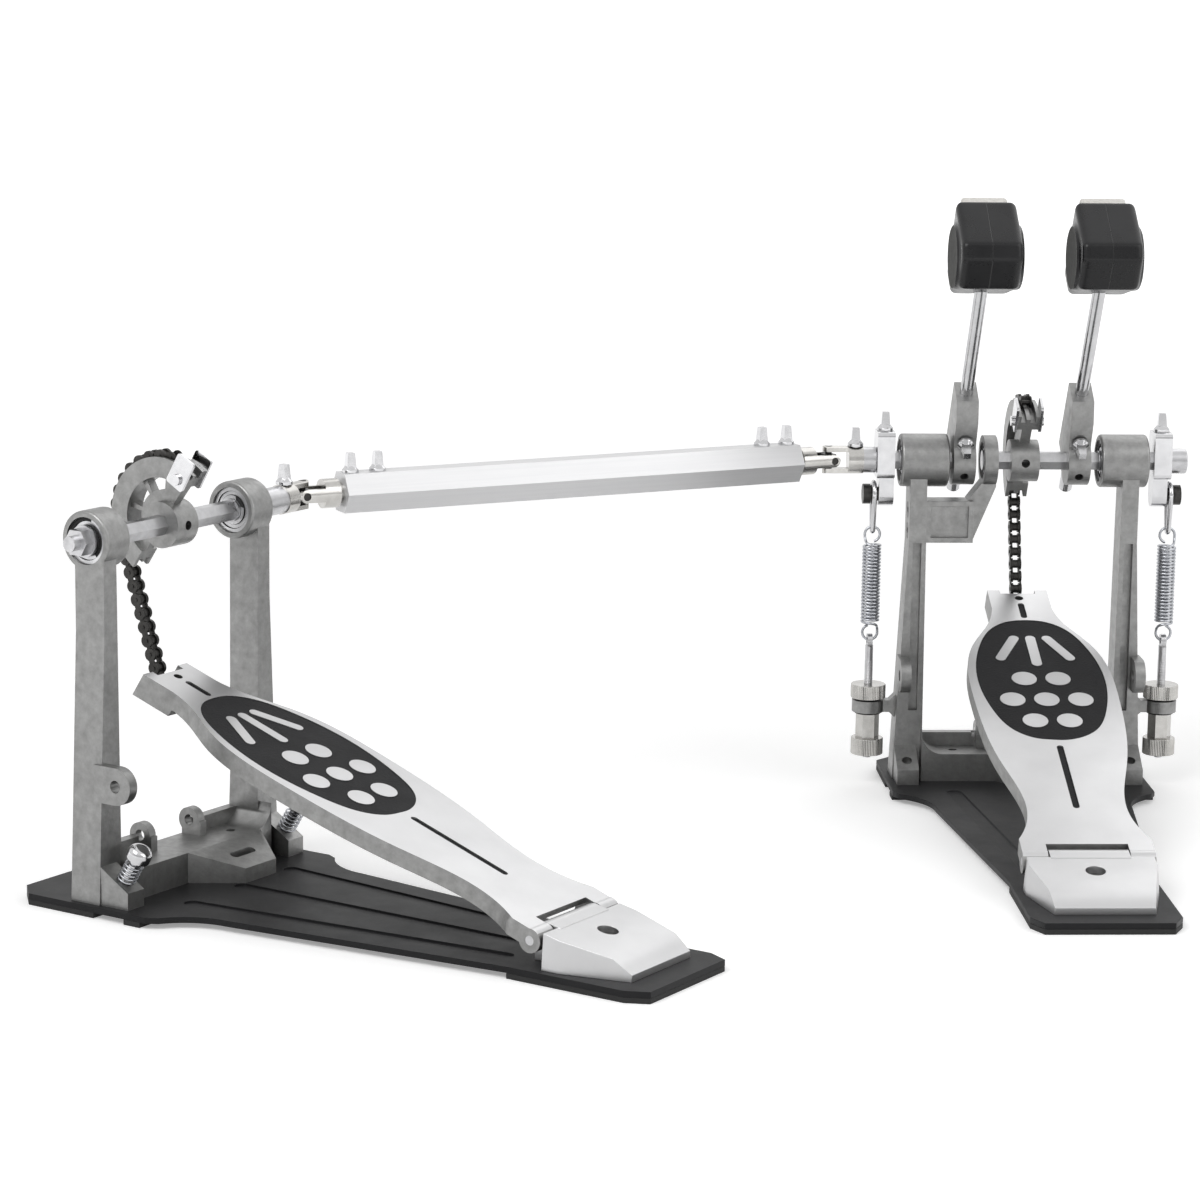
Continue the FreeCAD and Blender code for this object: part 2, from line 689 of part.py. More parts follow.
def crossbar():
    """The bar between the pillars with its rear wall, ears, tongue and corner fillets."""
    bar = box(-PILLAR_INNER, PILLAR_INNER, BAR_FRONT, BAR_BACK, FLOOR_TOP, BAR_TOP)
    wall = box(-PILLAR_INNER, PILLAR_INNER, WALL_FRONT, BAR_BACK, FLOOR_TOP, WALL_TOP)
    opening = box(-EAR_INNER, EAR_INNER, WALL_FRONT - OVERRUN, BAR_BACK + OVERRUN, BAR_TOP,
                  WALL_TOP + OVERRUN)
    tongue = prism_z(both_sides([(TONGUE_ROOT_HALF, BAR_FRONT + OVERRUN), (TONGUE_ROOT_HALF, BAR_FRONT),
                                 (TONGUE_HALF, TONGUE_FRONT)]), FLOOR_TOP, BAR_TOP)
    ramp = prism_x([(BAR_FRONT + OVERRUN, FLOOR_TOP), (BAR_FRONT + OVERRUN, BAR_TOP), (BAR_FRONT, BAR_TOP),
                    (TONGUE_FRONT, TONGUE_TOP), (TONGUE_FRONT,
                                                 FLOOR_TOP)], -TONGUE_ROOT_HALF, TONGUE_ROOT_HALF)
    tongue = moved(tongue.common(ramp), V(TONGUE_X, 0, 0))
    slot_y = (TONGUE_FRONT + BAR_FRONT) * HALF
    slot_half = TONGUE_SLOT_LENGTH * HALF
    slot = slot_z(TONGUE_SLOT_WIDTH, TONGUE_X - slot_half, slot_y, TONGUE_X + slot_half, slot_y,
                  TONGUE_TOP - PLATE * HALF, BAR_TOP + OVERRUN)
    body = join(bar, wall).cut(opening)
    body = join(body, tongue).cut(slot)
    corner_x = PILLAR_INNER - CORNER_FILLET
    corner_z = BAR_TOP + CORNER_FILLET
    for side in (-1, 1):
        start = side * EAR_INNER
        end = side * (EAR_INNER + EAR_THICK)
        ear = box(min(start, end), max(start, end), EAR_FRONT, BAR_BACK, BAR_TOP - OVERRUN, EAR_HOLE_Z)
        knob = rod(EAR_RADIUS, V(start, EAR_HOLE_Y, EAR_HOLE_Z), V(end, EAR_HOLE_Y, EAR_HOLE_Z))
        hole = rod(PIVOT_RADIUS + SEAT_FIT, V(start - side * OVERRUN, EAR_HOLE_Y, EAR_HOLE_Z),
                   V(end + side * OVERRUN, EAR_HOLE_Y, EAR_HOLE_Z))
        block = box(corner_x, PILLAR_INNER, BAR_FRONT, PILLAR_BACK, BAR_TOP, corner_z)
        scoop = rod(CORNER_FILLET, V(corner_x, BAR_FRONT - OVERRUN, corner_z),
                    V(corner_x, BAR_BACK, corner_z))
        fillet = block.cut(scoop)
        body = join(body, ear, knob, fillet if side > 0 else mirrored(fillet)).cut(hole)
        bar_hole = rod(BAR_HOLE, V(side * BAR_HOLE_X, (BAR_FRONT + WALL_FRONT) * HALF, BAR_TOP - PLATE),
                       V(side * BAR_HOLE_X, (BAR_FRONT + WALL_FRONT) * HALF, BAR_TOP + OVERRUN))
        body = body.cut(bar_hole)
    return body


def hub(x0, x1, bearing_radius):
    """A bearing hub along the axle with a seat for its bearing."""
    centre0 = V(x0, 0, AXLE_HEIGHT)
    centre1 = V(x1, 0, AXLE_HEIGHT)
    outside = rod(HUB_RADIUS, centre0, centre1)
    outside = outside.makeFillet(HUB_FILLET, [e for e in outside.Edges if e.Closed])
    return outside, rod(bearing_radius + SEAT_FIT, centre0 - X_AXIS * OVERRUN, centre1 + X_AXIS * OVERRUN)


def ring_bracket():
    """The right arm and ring that carry a spring adjuster."""
    disc = rod(RING_RADIUS, V(SPRING_X, 0, RING_LOW), V(SPRING_X, 0, RING_HIGH))
    arm = box(PILLAR_OUTER, SPRING_X, -RING_ARM * HALF, RING_ARM * HALF, RING_LOW, RING_HIGH)
    arm = join(arm, prism_y([(PILLAR_OUTER, RING_LOW - RING_ARM), (PILLAR_OUTER, RING_HIGH + RING_ARM),
                             (PILLAR_OUTER + RING_ARM, RING_HIGH), (PILLAR_OUTER + RING_ARM, RING_LOW)],
                            -RING_ARM * HALF, RING_ARM * HALF))
    bore = rod(RING_BORE, V(SPRING_X, 0, RING_LOW - OVERRUN), V(SPRING_X, 0, RING_HIGH + OVERRUN))
    return join(disc, arm).cut(bore)


def main_frame():
    right = pillar(False)
    left = mirrored(right)
    right_hub, right_bore = hub(MAIN_HUB_INNER, MAIN_HUB_OUTER, BEARING_RADIUS)
    left_hub, left_bore = hub(-MAIN_HUB_OUTER, -MAIN_HUB_INNER, BEARING_RADIUS)
    spring_arm = ring_bracket()
    body = join(right, left, crossbar(), right_hub, left_hub, spring_arm, mirrored(spring_arm))
    body = body.cut(right_bore).cut(left_bore)
    for z in bracket_screw_heights():
        hole_y = bracket_screw_y()
        hole = rod(SCREW_RADIUS + SEAT_FIT, V(-PILLAR_FOOT_OUTER, hole_y, z),
                   V(-PILLAR_INNER + OVERRUN, hole_y, z))
        sink = rod(SCREW_HEAD + SEAT_FIT, V(-PILLAR_FOOT_OUTER, hole_y, z),
                   V(-PILLAR_OUTER + SCREW_HEAD_HEIGHT, hole_y, z))
        body = body.cut(hole).cut(sink)
    return body


def slave_hub_ends():
    return (-SLAVE_HUB_OUTER, -SLAVE_HUB_INNER), (SLAVE_HUB_INNER, SLAVE_HUB_OUTER)


def slave_frame():
    right = pillar(True)
    left = mirrored(right)
    left_ends, right_ends = slave_hub_ends()
    left_hub, left_bore = hub(left_ends[0], left_ends[1], BEARING_RADIUS)
    right_hub, right_bore = hub(right_ends[0], right_ends[1], BEARING_RADIUS)
    body = join(right, left, crossbar(), left_hub, right_hub)
    return body.cut(left_bore).cut(right_bore)


def bearing(x0, x1, radius):
    """A shielded bearing whose bore runs on a journal of the axle."""
    body = ring(radius, JOURNAL + RUN_FIT, V(x0, 0, AXLE_HEIGHT), V(x1, 0, AXLE_HEIGHT))
    outer = radius - SHIELD_WALL
    inner = JOURNAL + SHIELD_WALL
    for start, end in ((x0 - OVERRUN, x0 + SHIELD_DEPTH), (x1 - SHIELD_DEPTH, x1 + OVERRUN)):
        body = body.cut(ring(outer, inner, V(start, 0, AXLE_HEIGHT), V(end, 0, AXLE_HEIGHT)))
    return body


def main_bearings():
    inset = BEARING_RECESS
    right = bearing(MAIN_HUB_INNER + inset, MAIN_HUB_OUTER - inset, BEARING_RADIUS)
    left = bearing(-MAIN_HUB_OUTER + inset, -MAIN_HUB_INNER - inset, BEARING_RADIUS)
    middle = bearing(MID_RING_LEFT + inset, MID_RING_RIGHT - inset, MID_BEARING_RADIUS)
    return group(right, left, middle)


def slave_bearings():
    inset = BEARING_RECESS
    ends = [bearing(start + inset, end - inset, BEARING_RADIUS) for start, end in slave_hub_ends()]
    return at_slave(group(*ends))


def bracket_screw_heights():
    third = (BRACKET_HIGH - BRACKET_LOW) / 4
    return (BRACKET_LOW + third, BRACKET_HIGH - third)


def bracket_screw_y():
    return (BRACKET_FRONT + BRACKET_BACK) * HALF


def bearing_bracket():
    """The arm from the left pillar to the middle bearing."""
    bar = box(-PILLAR_INNER, BRACKET_END, BRACKET_FRONT, BRACKET_BACK, BRACKET_LOW, BRACKET_HIGH)
    pocket = box(-PILLAR_INNER + BRACKET_RIB, BRACKET_END - BRACKET_RIB, BRACKET_FRONT - OVERRUN,
                 BRACKET_FRONT + BRACKET_RIB, BRACKET_LOW + BRACKET_RIB, BRACKET_HIGH - BRACKET_RIB)
    arm = prism_y([(BRACKET_END - BRACKET_RIB, BRACKET_LOW), (BRACKET_END, BRACKET_LOW),
                   (MID_RING_RIGHT, AXLE_HEIGHT - MID_RING_RADIUS), (MID_RING_RIGHT, AXLE_HEIGHT),
                   (MID_RING_LEFT, AXLE_HEIGHT), (MID_RING_LEFT, AXLE_HEIGHT - MID_RING_RADIUS + BRACKET_RIB),
                   (BRACKET_END - BRACKET_RIB, BRACKET_HIGH)], ARM_FRONT, ARM_BACK)
    disc = rod(MID_RING_RADIUS, V(MID_RING_LEFT, 0, AXLE_HEIGHT), V(MID_RING_RIGHT, 0, AXLE_HEIGHT))
    bore = rod(MID_BEARING_RADIUS + SEAT_FIT, V(MID_RING_LEFT - OVERRUN, 0, AXLE_HEIGHT),
               V(MID_RING_RIGHT + OVERRUN, 0, AXLE_HEIGHT))
    body = join(bar.cut(pocket), arm, disc).cut(bore)
    for z in bracket_screw_heights():
        y = bracket_screw_y()
        body = body.cut(rod(SCREW_RADIUS, V(-PILLAR_INNER - OVERRUN, y, z),
                            V(-PILLAR_INNER + PILLAR_OUTER / 6, y, z)))
    return body


def frame_screws():
    """The bracket's two screws and the two heel plates' screws."""
    solids = []
    for z in bracket_screw_heights():
        seat = -PILLAR_OUTER + SCREW_HEAD_HEIGHT
        solids.append(cap_screw(V(seat, bracket_screw_y(), z), X_AXIS * -1, PILLAR_OUTER - PILLAR_INNER))
    heel = cap_screw(V(0, HEEL_SCREW_Y, heel_height(HEEL_SCREW_Y) - HEEL_SCREW_SINK - SCREW_HEAD_HEIGHT),
                     Z_AXIS, HEEL_NOSE_TOP)
    return group(*solids, heel, at_slave(heel))


def heel_height(y):
    """Height of the heel plate's sloping top."""
    lip = HEEL_FRONT_Y + HEEL_LIP
    return HEEL_LIP_TOP + (HEEL_TOP - HEEL_LIP_TOP) * (y - lip) / (HINGE_Y - lip)


def heel_plate():
    """A cast wedge with drafted sides and the hinge tongue between the board's knuckles."""
    back = HINGE_Y - KNUCKLE - 2 * PART_GAP
    lip = HEEL_FRONT_Y + HEEL_LIP
    side = prism_x([(back, FLOOR_TOP), (back, heel_height(back)), (lip, HEEL_LIP_TOP),
                    (HEEL_FRONT_Y, HEEL_NOSE_TOP),
                    (HEEL_FRONT_Y, FLOOR_TOP)], -HEEL_HALF, HEEL_HALF)
    low = [(HEEL_HALF, back), (HEEL_HALF, back - HEEL_LIP), (HEEL_NOSE_HALF, HEEL_FRONT_Y)]
    high = [(x - HEEL_DRAFT, y) for x, y in low]
    loops = []
    for half, z in ((low, FLOOR_TOP), (high, HEEL_TOP)):
        corners = [V(x, y, z) for x, y in both_sides(half)]
        loops.append(Part.makePolygon(corners + corners[:1]))
    body = side.common(Part.makeLoft(loops, True, True))
    tongue_half = NOTCH_HALF - TONGUE_SIDE_GAP
    knuckle = rod(KNUCKLE, V(-tongue_half, HINGE_Y, HINGE_Z), V(tongue_half, HINGE_Y, HINGE_Z))
    web = prism_x([(back - OVERRUN, FLOOR_TOP), (back - OVERRUN, heel_height(back)),
                   (HINGE_Y, HINGE_Z + KNUCKLE),
                   (HINGE_Y + KNUCKLE, HINGE_Z), (HINGE_Y + KNUCKLE, FLOOR_TOP)], -tongue_half, tongue_half)
    bore = rod(PIN_RADIUS + SEAT_FIT, V(-HEEL_HALF, HINGE_Y, HINGE_Z), V(HEEL_HALF, HINGE_Y, HINGE_Z))
    sink_low = heel_height(HEEL_SCREW_Y) - HEEL_SCREW_SINK - SCREW_HEAD_HEIGHT
    sink = rod(SCREW_HEAD + PART_GAP, V(0, HEEL_SCREW_Y, sink_low), V(0, HEEL_SCREW_Y, HEEL_TOP + OVERRUN))
    hole = rod(SCREW_RADIUS + SEAT_FIT, V(0, HEEL_SCREW_Y, 0), V(0, HEEL_SCREW_Y, HEEL_TOP))
    return join(body, knuckle, web).cut(bore).cut(sink).cut(hole)


def hinge_pin():
    half = HEEL_HALF
    return rod(PIN_RADIUS, V(-half, HINGE_Y, HINGE_Z), V(half, HINGE_Y, HINGE_Z))


def clamp_pin():
    reach = EAR_INNER + EAR_THICK
    return rod(PIVOT_RADIUS, V(-reach, EAR_HOLE_Y, EAR_HOLE_Z), V(reach, EAR_HOLE_Y, EAR_HOLE_Z))


def board_edge(half, heel, toe, toe_half, side):
    """One long edge of a footboard outline from heel to toe."""
    return [V(side * half * across, heel + (toe - heel) * along, 0) for across, along in BOARD_WAIST_SHARES] \
        + [V(side * toe_half, toe - (toe - heel) * (1 - BOARD_NECK_SHARE), 0)]


def board_face(inset):
    """The footboard's outline seen from above, drawn in by inset."""
    heel = -BOARD_HEEL + inset
    toe = BOARD_LENGTH - BOARD_HEEL - inset
    half = BOARD_HALF - inset
    toe_half = TOE_HALF - inset
    right = board_edge(half, heel, toe, toe_half, 1)
    left = board_edge(half, heel, toe, toe_half, -1)
    heel_right = V(right[0].x, heel, 0)
    heel_left = V(left[0].x, heel, 0)
    toe_right = V(toe_half, toe, 0)
    toe_left = V(-toe_half, toe, 0)
    edges = [
        Part.LineSegment(heel_left, heel_right).toShape(),
        Part.LineSegment(heel_right, right[0]).toShape(),
        smooth_edge(right),
        Part.LineSegment(right[-1], toe_right).toShape(),
        Part.LineSegment(toe_right, toe_left).toShape(),
        Part.LineSegment(toe_left, left[-1]).toShape(),
        smooth_edge(list(reversed(left))),
        Part.LineSegment(left[0], heel_left).toShape(),
    ]
    return Part.Face(Part.Wire(edges))


def tread_face(grow):
    """The egg-shaped inlay's outline, grown by a small fit."""
    long = TREAD_LENGTH + 2 * grow
    right = [V(TREAD_HALF * across + grow, TREAD_START - grow + long * along, 0) for across,
             along in TREAD_SHARES]
    left = [V(-point.x, point.y, 0) for point in reversed(right)]
    heel = V(0, TREAD_START - grow, 0)
    toe = heel + V(0, long, 0)
    curve = Part.BSplineCurve()
    curve.interpolate(Points=[heel] + right + [toe] + left, PeriodicFlag=True)
    return Part.Face(Part.Wire([curve.toShape()]))


def grip_shapes(grow, low, high):
    """Seven round grips and three fanned bars that stand through the inlay."""
    shapes = []
    for row, columns in ((-1, (-0.5, 0.5)), (0, (-1, 0, 1)), (1, (-0.5, 0.5))):
        for column in columns:
            centre = V(column * DOT_STEP, DOT_MIDDLE + row * DOT_ROW, low)
            shapes.append(Part.makeCylinder(DOT_RADIUS + grow, high - low, centre))
    end_reach = BAR_WIDTH * HALF
    top = BAR_START + BAR_LENGTH - end_reach
    width = BAR_WIDTH + 2 * grow
    shapes.append(slot_z(width, 0, BAR_START + end_reach, 0, top, low, high))
    for side in (-1, 1):
        low_x = side * BAR_FAN_LOW
        top_x = side * BAR_FAN_TOP
        shapes.append(slot_z(width, low_x, BAR_START + BAR_FAN_SHORT + end_reach, top_x, top, low, high))
    return shapes


def toe_pin_place():
    """Toe pin in the board's frame: along the board and square to it."""
    return BOARD_LENGTH - BOARD_HEEL + TOE_PIN_BACK, BOARD_TOP - TOE_PIN_DROP


def footboard():
    """A cast board: top plate, skirt, hinge knuckles, toe ears, grips in a sunk bed and engraved slots."""
    bottom = BOARD_TOP - BOARD_SKIRT
    toe = BOARD_LENGTH - BOARD_HEEL
    shell = moved(board_face(0).extrude(V(0, 0, BOARD_SKIRT)), V(0, 0, bottom))
    hollow = moved(board_face(BOARD_WALL).extrude(V(0, 0, BOARD_SKIRT)), V(0, 0, bottom - BOARD_PLATE))
    body = shell.cut(hollow)
    boss_start = toe - TOE_BOSS_LENGTH
    boss = prism_x([(boss_start, BOARD_TOP - BOARD_PLATE), (toe - TOE_LOBE, BOARD_TOP - BOARD_PLATE),
                    (toe - TOE_LOBE, BOARD_TOP - TOE_DROP), (boss_start + TOE_SLANT, BOARD_TOP - TOE_DROP)],
                   -TOE_HALF, TOE_HALF)
    ears = prism_x([(toe - TOE_LOBE - OVERRUN, BOARD_TOP), (toe, BOARD_TOP),
                    (toe + TOE_SLANT, BOARD_TOP - TOE_DROP),
                    (toe - TOE_LOBE - OVERRUN, BOARD_TOP - TOE_DROP)], -TOE_HALF, TOE_HALF)
    gap = box(-TOE_GAP_HALF, TOE_GAP_HALF, toe - TOE_LOBE, toe + TOE_SLANT + OVERRUN,
              BOARD_TOP - TOE_DROP - OVERRUN, BOARD_TOP + OVERRUN)
    body = join(body, boss, ears).cut(gap)
    pin_y, pin_z = toe_pin_place()
    pin_reach = TOE_HALF - BOARD_WALL
    pin = rod(TOE_PIN_RADIUS, V(-pin_reach, pin_y, pin_z), V(pin_reach, pin_y, pin_z))
    notch = box(-NOTCH_HALF, NOTCH_HALF, -BOARD_HEEL - OVERRUN, NOTCH_DEPTH, bottom - OVERRUN,
                BOARD_TOP + OVERRUN)
    body = join(body, pin).cut(notch)
    heel_half = BOARD_HALF * BOARD_WAIST_SHARES[0][0]
    clear = box(-heel_half - OVERRUN, heel_half + OVERRUN, -BOARD_HEEL - OVERRUN, 0, bottom - OVERRUN,
                BOARD_TOP + OVERRUN)
    body = body.cut(clear)
    for side in (-1, 1):
        inner = side * NOTCH_HALF
        outer = side * heel_half
        knuckle = rod(KNUCKLE, V(inner, 0, 0), V(outer, 0, 0))
        cheek = box(min(inner, outer), max(inner, outer), 0, NOTCH_DEPTH + BOARD_WALL, bottom, BOARD_TOP)
        body = join(body, knuckle, cheek)
    bore = rod(PIN_RADIUS + RUN_FIT, V(-heel_half - OVERRUN, 0, 0), V(heel_half + OVERRUN, 0, 0))
    body = body.cut(bore)
    bed = moved(tread_face(TREAD_FIT).extrude(V(0, 0, TREAD_DEPTH + OVERRUN)),
                V(0, 0, BOARD_TOP - TREAD_DEPTH))
    for grip in grip_shapes(0, BOARD_TOP - TREAD_DEPTH, BOARD_TOP + OVERRUN):
        bed = bed.cut(grip)
    body = body.cut(bed)
    slot_low = BOARD_TOP - SLOT_DEPTH
    slot_high = BOARD_TOP + OVERRUN
    for start, length in ((LONG_SLOT_START, LONG_SLOT_LENGTH), (TOE_SLOT_START, TOE_SLOT_LENGTH)):
        body = body.cut(slot_z(SLOT_WIDTH, 0, start, 0, start + length - SLOT_WIDTH, slot_low, slot_high))
    hole_y = toe - TOE_HOLE_BACK
    hole = rod(TOE_HOLE, V(0, hole_y, BOARD_TOP - TOE_DROP * HALF), V(0, hole_y, slot_high))
    return at_board(body.cut(hole))


def tread():
    """The dark inlay that fills the footboard's sunk bed around the grips."""
    low = BOARD_TOP - TREAD_DEPTH
    sheet = moved(tread_face(0).extrude(V(0, 0, TREAD)), V(0, 0, low))
    for grip in grip_shapes(TREAD_FIT, low - OVERRUN, BOARD_TOP + OVERRUN):
        sheet = sheet.cut(grip)
    return at_board(sheet)


def cam_centre():
    return V(0, CAM_Y, AXLE_HEIGHT + CAM_RISE)


def toe_pin():
    """Toe pin in the pedal's frame."""
    along, square = toe_pin_place()
    tilt = math.radians(BOARD_TILT)
    y = HINGE_Y + along * math.cos(tilt) - square * math.sin(tilt)
    z = HINGE_Z + along * math.sin(tilt) + square * math.cos(tilt)
    return V(0, y, z)


def chain_layout():
    """Pins of the free run from the toe up, then of the links bent round the cam."""
    centre = cam_centre()
    toe = toe_pin()
    span = centre - toe
    length = math.sqrt(span.Length ** 2 - CHAIN_CIRCLE ** 2)
    lean = math.atan2(span.y, span.z) + math.asin(CHAIN_CIRCLE / span.Length)
    step = 2 * math.asin(length / RUN_LINKS / (2 * CHAIN_CIRCLE))
    direction = V(0, math.sin(lean), math.cos(lean))
    run = [toe + direction * (length * k / RUN_LINKS) for k in range(RUN_LINKS + 1)]
    bent = []
    for k in range(FREE_LINKS + HELD_LINKS + 1):
        angle = step * k - lean
        bent.append(centre + V(0, math.cos(angle), math.sin(angle)) * CHAIN_CIRCLE)
    return run, bent


def link(a, b, outer, eye_fit=0.0):
    """One chain link between two pins: an inner link with rollers or an outer link with pins."""
    along = b - a
    length = along.Length
    low = LINK_INNER_HALF
    if outer:
        low = LINK_INNER_HALF + LINK_PLATE + LINK_SIDE_GAP
    high = low + LINK_PLATE
    waist = LINK_HALF_HEIGHT * LINK_WAIST_SHARE
    ends = [rod(LINK_HALF_HEIGHT, V(x, 0, low), V(x, 0, high)) for x in (0, length)]
    plate = join(box(0, length, -waist, waist, low, high), *ends)
    other = moved(plate, V(0, 0, -low - high))
    body = plate.fuse(other)
    reach = high + LINK_PLATE * HALF if outer else low + LINK_PLATE * HALF
    core = LINK_PIN if outer else ROLLER
    solids = [Part.makeCylinder(core, 2 * reach, V(x, 0, -reach)) for x in (0, length)]
    body = body.fuse(solids).removeSplitter()
    if not outer:
        for x, fit in ((0, eye_fit), (length, 0)):
            hole = TOE_PIN_RADIUS + fit if fit else LINK_PIN + RUN_FIT
            body = body.cut(Part.makeCylinder(hole, 2 * high + OVERRUN, V(x, 0, -high - OVERRUN * HALF)))
    across = along.cross(X_AXIS).normalize()
    matrix = FreeCAD.Matrix(along.x / length, across.x, -1, a.x, along.y / length, across.y, 0, a.y,
                            along.z / length, across.z, 0, a.z, 0, 0, 0, 1)
    return body.transformGeometry(matrix) if matrix.determinant() < 0 else placed(body, matrix)


def placed(shape, matrix):
    copy = shape.copy()
    copy.Placement = FreeCAD.Placement(matrix)
    return copy


def chain_run():
    run, bent = chain_layout()
    links = [link(run[k], run[k + 1], k % 2 == 1, TOE_EYE_FIT if k == 0 else 0.0) for k in range(RUN_LINKS)]
    return group(*links)


def chain_bent_link(number):
    """Links counted from the tangent point up round the cam."""
    bent = chain_layout()[1]
    return link(bent[number], bent[number + 1], number % 2 == 0 if RUN_LINKS % 2 else number % 2 == 1)


def chain_held():
    return group(*[chain_bent_link(k) for k in range(FREE_LINKS, FREE_LINKS + HELD_LINKS)])


def sector(inner, outer, low_angle, high_angle, half):
    """A curved bar about the cam's centre."""
    centre = cam_centre()
    disc = ring(outer, inner, centre - X_AXIS * half, centre + X_AXIS * half)
    reach = 2 * outer
    middle = math.radians((low_angle + high_angle) * HALF)
    corners = [(centre.y, centre.z)]
    for angle in (math.radians(low_angle), middle, math.radians(high_angle)):
        corners.append((centre.y + reach * math.cos(angle), centre.z + reach * math.sin(angle)))
    return disc.common(prism_x(corners, -half, half))


def cam_half_width():
    link_half = LINK_INNER_HALF + 2 * LINK_PLATE + LINK_SIDE_GAP + LINK_PLATE * HALF
    return link_half + CAM_FLANGE_GAP, link_half + CAM_FLANGE_GAP + CAM_FLANGE


def cam():
    """A sector cam with a groove for the chain, a web with windows, a hub and a hex bore."""
    groove_half, half = cam_half_width()
    seat = CHAIN_CIRCLE - ROLLER - RUN_FIT
    floor = CHAIN_CIRCLE - LINK_HALF_HEIGHT - CAM_SINK
    inner = floor - CAM_RIM
    rim = sector(inner, floor, CAM_LOW_ANGLE, CAM_HIGH_ANGLE, half)
    rib = sector(inner, seat, CAM_LOW_ANGLE, CAM_HIGH_ANGLE, CAM_RIB_HALF)
    flange = sector(inner, CHAIN_CIRCLE, CAM_LOW_ANGLE, CAM_HIGH_ANGLE, half)
    flange = flange.cut(sector(inner - OVERRUN, CHAIN_CIRCLE + OVERRUN, CAM_LOW_ANGLE, CAM_HIGH_ANGLE,
                               groove_half))
    centre = cam_centre()
    web = rod(floor, centre - X_AXIS * CAM_WEB_HALF, centre + X_AXIS * CAM_WEB_HALF)
    wedge = sector(RUN_FIT, floor, CAM_LOW_ANGLE, CAM_HIGH_ANGLE, CAM_WEB_HALF)
    for k in range(CAM_WINDOWS):
        start = CAM_WINDOW_START + CAM_WINDOW_STEP * k
        wedge = wedge.cut(sector(CAM_WINDOW_REACH, inner, start, start + CAM_WINDOW_SPAN, half))
    axle = V(0, 0, AXLE_HEIGHT)
    boss = rod(CAM_HUB_RADIUS, axle - X_AXIS * CAM_HUB_HALF, axle + X_AXIS * CAM_HUB_HALF)
    body = join(rim, rib, flange, web.common(wedge), boss)
    set_hole = rod(SET_SCREW, V(0, -CAM_HUB_RADIUS - OVERRUN, AXLE_HEIGHT), V(0, 0, AXLE_HEIGHT))
    for base, direction in clip_screw_places():
        body = body.cut(rod(CLIP_SCREW + SEAT_FIT, base - direction * half, base + direction * half * 3))
    return body.cut(axle_bore(-CAM_HUB_HALF, CAM_HUB_HALF)).cut(set_hole)


def axle_bore(x0, x1):
    """A hexagon bore that fits the axle."""
    return hex_bar(HEX + 2 * SEAT_FIT, V(x0 - OVERRUN, 0, AXLE_HEIGHT), V(x1 + OVERRUN, 0, AXLE_HEIGHT),
                   Y_AXIS)


def clip_screw_places():
    """Where the clip's rivet crosses the cam's end."""
    half = cam_half_width()[1]
    angle = math.radians(CLIP_ANGLE)
    reach = CHAIN_CIRCLE - ROLLER - CLIP_HEIGHT * HALF
    spot = cam_centre() + V(0, math.cos(angle), math.sin(angle)) * reach
    return [(spot - X_AXIS * half, X_AXIS)]


def chain_clip():
    """Two cheeks that hold the chain's end on the cam, with the rivet through them."""
    half = cam_half_width()[1] + SEAT_FIT
    angle = math.radians(CLIP_ANGLE)
    outward = V(0, math.cos(angle), math.sin(angle))
    along = V(0, -math.sin(angle), math.cos(angle))
    middle = cam_centre() + outward * (CHAIN_CIRCLE - ROLLER)
    corners = []
    for across, out in ((-1, -1), (1, -1), (1, 1), (-1, 1)):
        spot = middle + along * (across * CLIP_LENGTH * HALF) + outward * (out * CLIP_HEIGHT)
        corners.append((spot.y, spot.z))
    right = prism_x(corners, half, half + CLIP_PLATE)
    edges = [e for e in right.Edges if e.tangentAt(e.FirstParameter).cross(X_AXIS).Length < HALF]
    right = right.makeFillet(CLIP_PLATE, edges)
    solids = [right, mirrored(right)]
    for base, direction in clip_screw_places():
        start = V(-half - CLIP_PLATE, base.y, base.z)
        end = V(half + CLIP_PLATE, base.y, base.z)
        pin = rod(CLIP_SCREW, start, end)
        caps = rod(CLIP_RIVET, end, end + direction * CLIP_PLATE)
        pin = join(pin, caps, mirrored(caps))
        solids = [join(pin, *solids)]
    return group(*solids)


def journal(x0, x1):
    return rod(JOURNAL, V(x0, 0, AXLE_HEIGHT), V(x1, 0, AXLE_HEIGHT))


def hex_axle(x0, x1):
    return hex_bar(HEX, V(x0, 0, AXLE_HEIGHT), V(x1, 0, AXLE_HEIGHT), Y_AXIS)


def right_axle():
    """The drum-side axle: from the middle bearing to the right cap."""
    cap_start = ROCKER_INNER + ROCKER_THICK + PART_GAP
    shaft = join(hex_axle(MID_RING_LEFT, cap_start), journal(MID_RING_LEFT, MID_RING_RIGHT),
                 journal(MAIN_HUB_INNER, MAIN_HUB_OUTER))
    cap = rod(AXLE_CAP_RADIUS, V(cap_start, 0, AXLE_HEIGHT), V(RIGHT_AXLE_END, 0, AXLE_HEIGHT))
    cap = cap.makeFillet(HUB_FILLET * HALF,
                         [e for e in cap.Edges if e.Closed and e.BoundBox.XMin > cap_start])
    return join(shaft, cap)


def left_axle():
    """The shaft-side axle: from the left beater hub to the stub that carries the yoke."""
    inner = BEATER_LEFT_X + BEATER_HUB_WIDTH * HALF
    stub_start = -ROCKER_INNER - ROCKER_THICK - PART_GAP
    shaft = join(hex_axle(stub_start, inner), journal(-MAIN_HUB_OUTER, -MAIN_HUB_INNER))
    stub = rod(STUB_RADIUS, V(yoke_back(MAIN_CROSS_X, 1), 0, AXLE_HEIGHT), V(stub_start, 0, AXLE_HEIGHT))
    return join(shaft, stub)


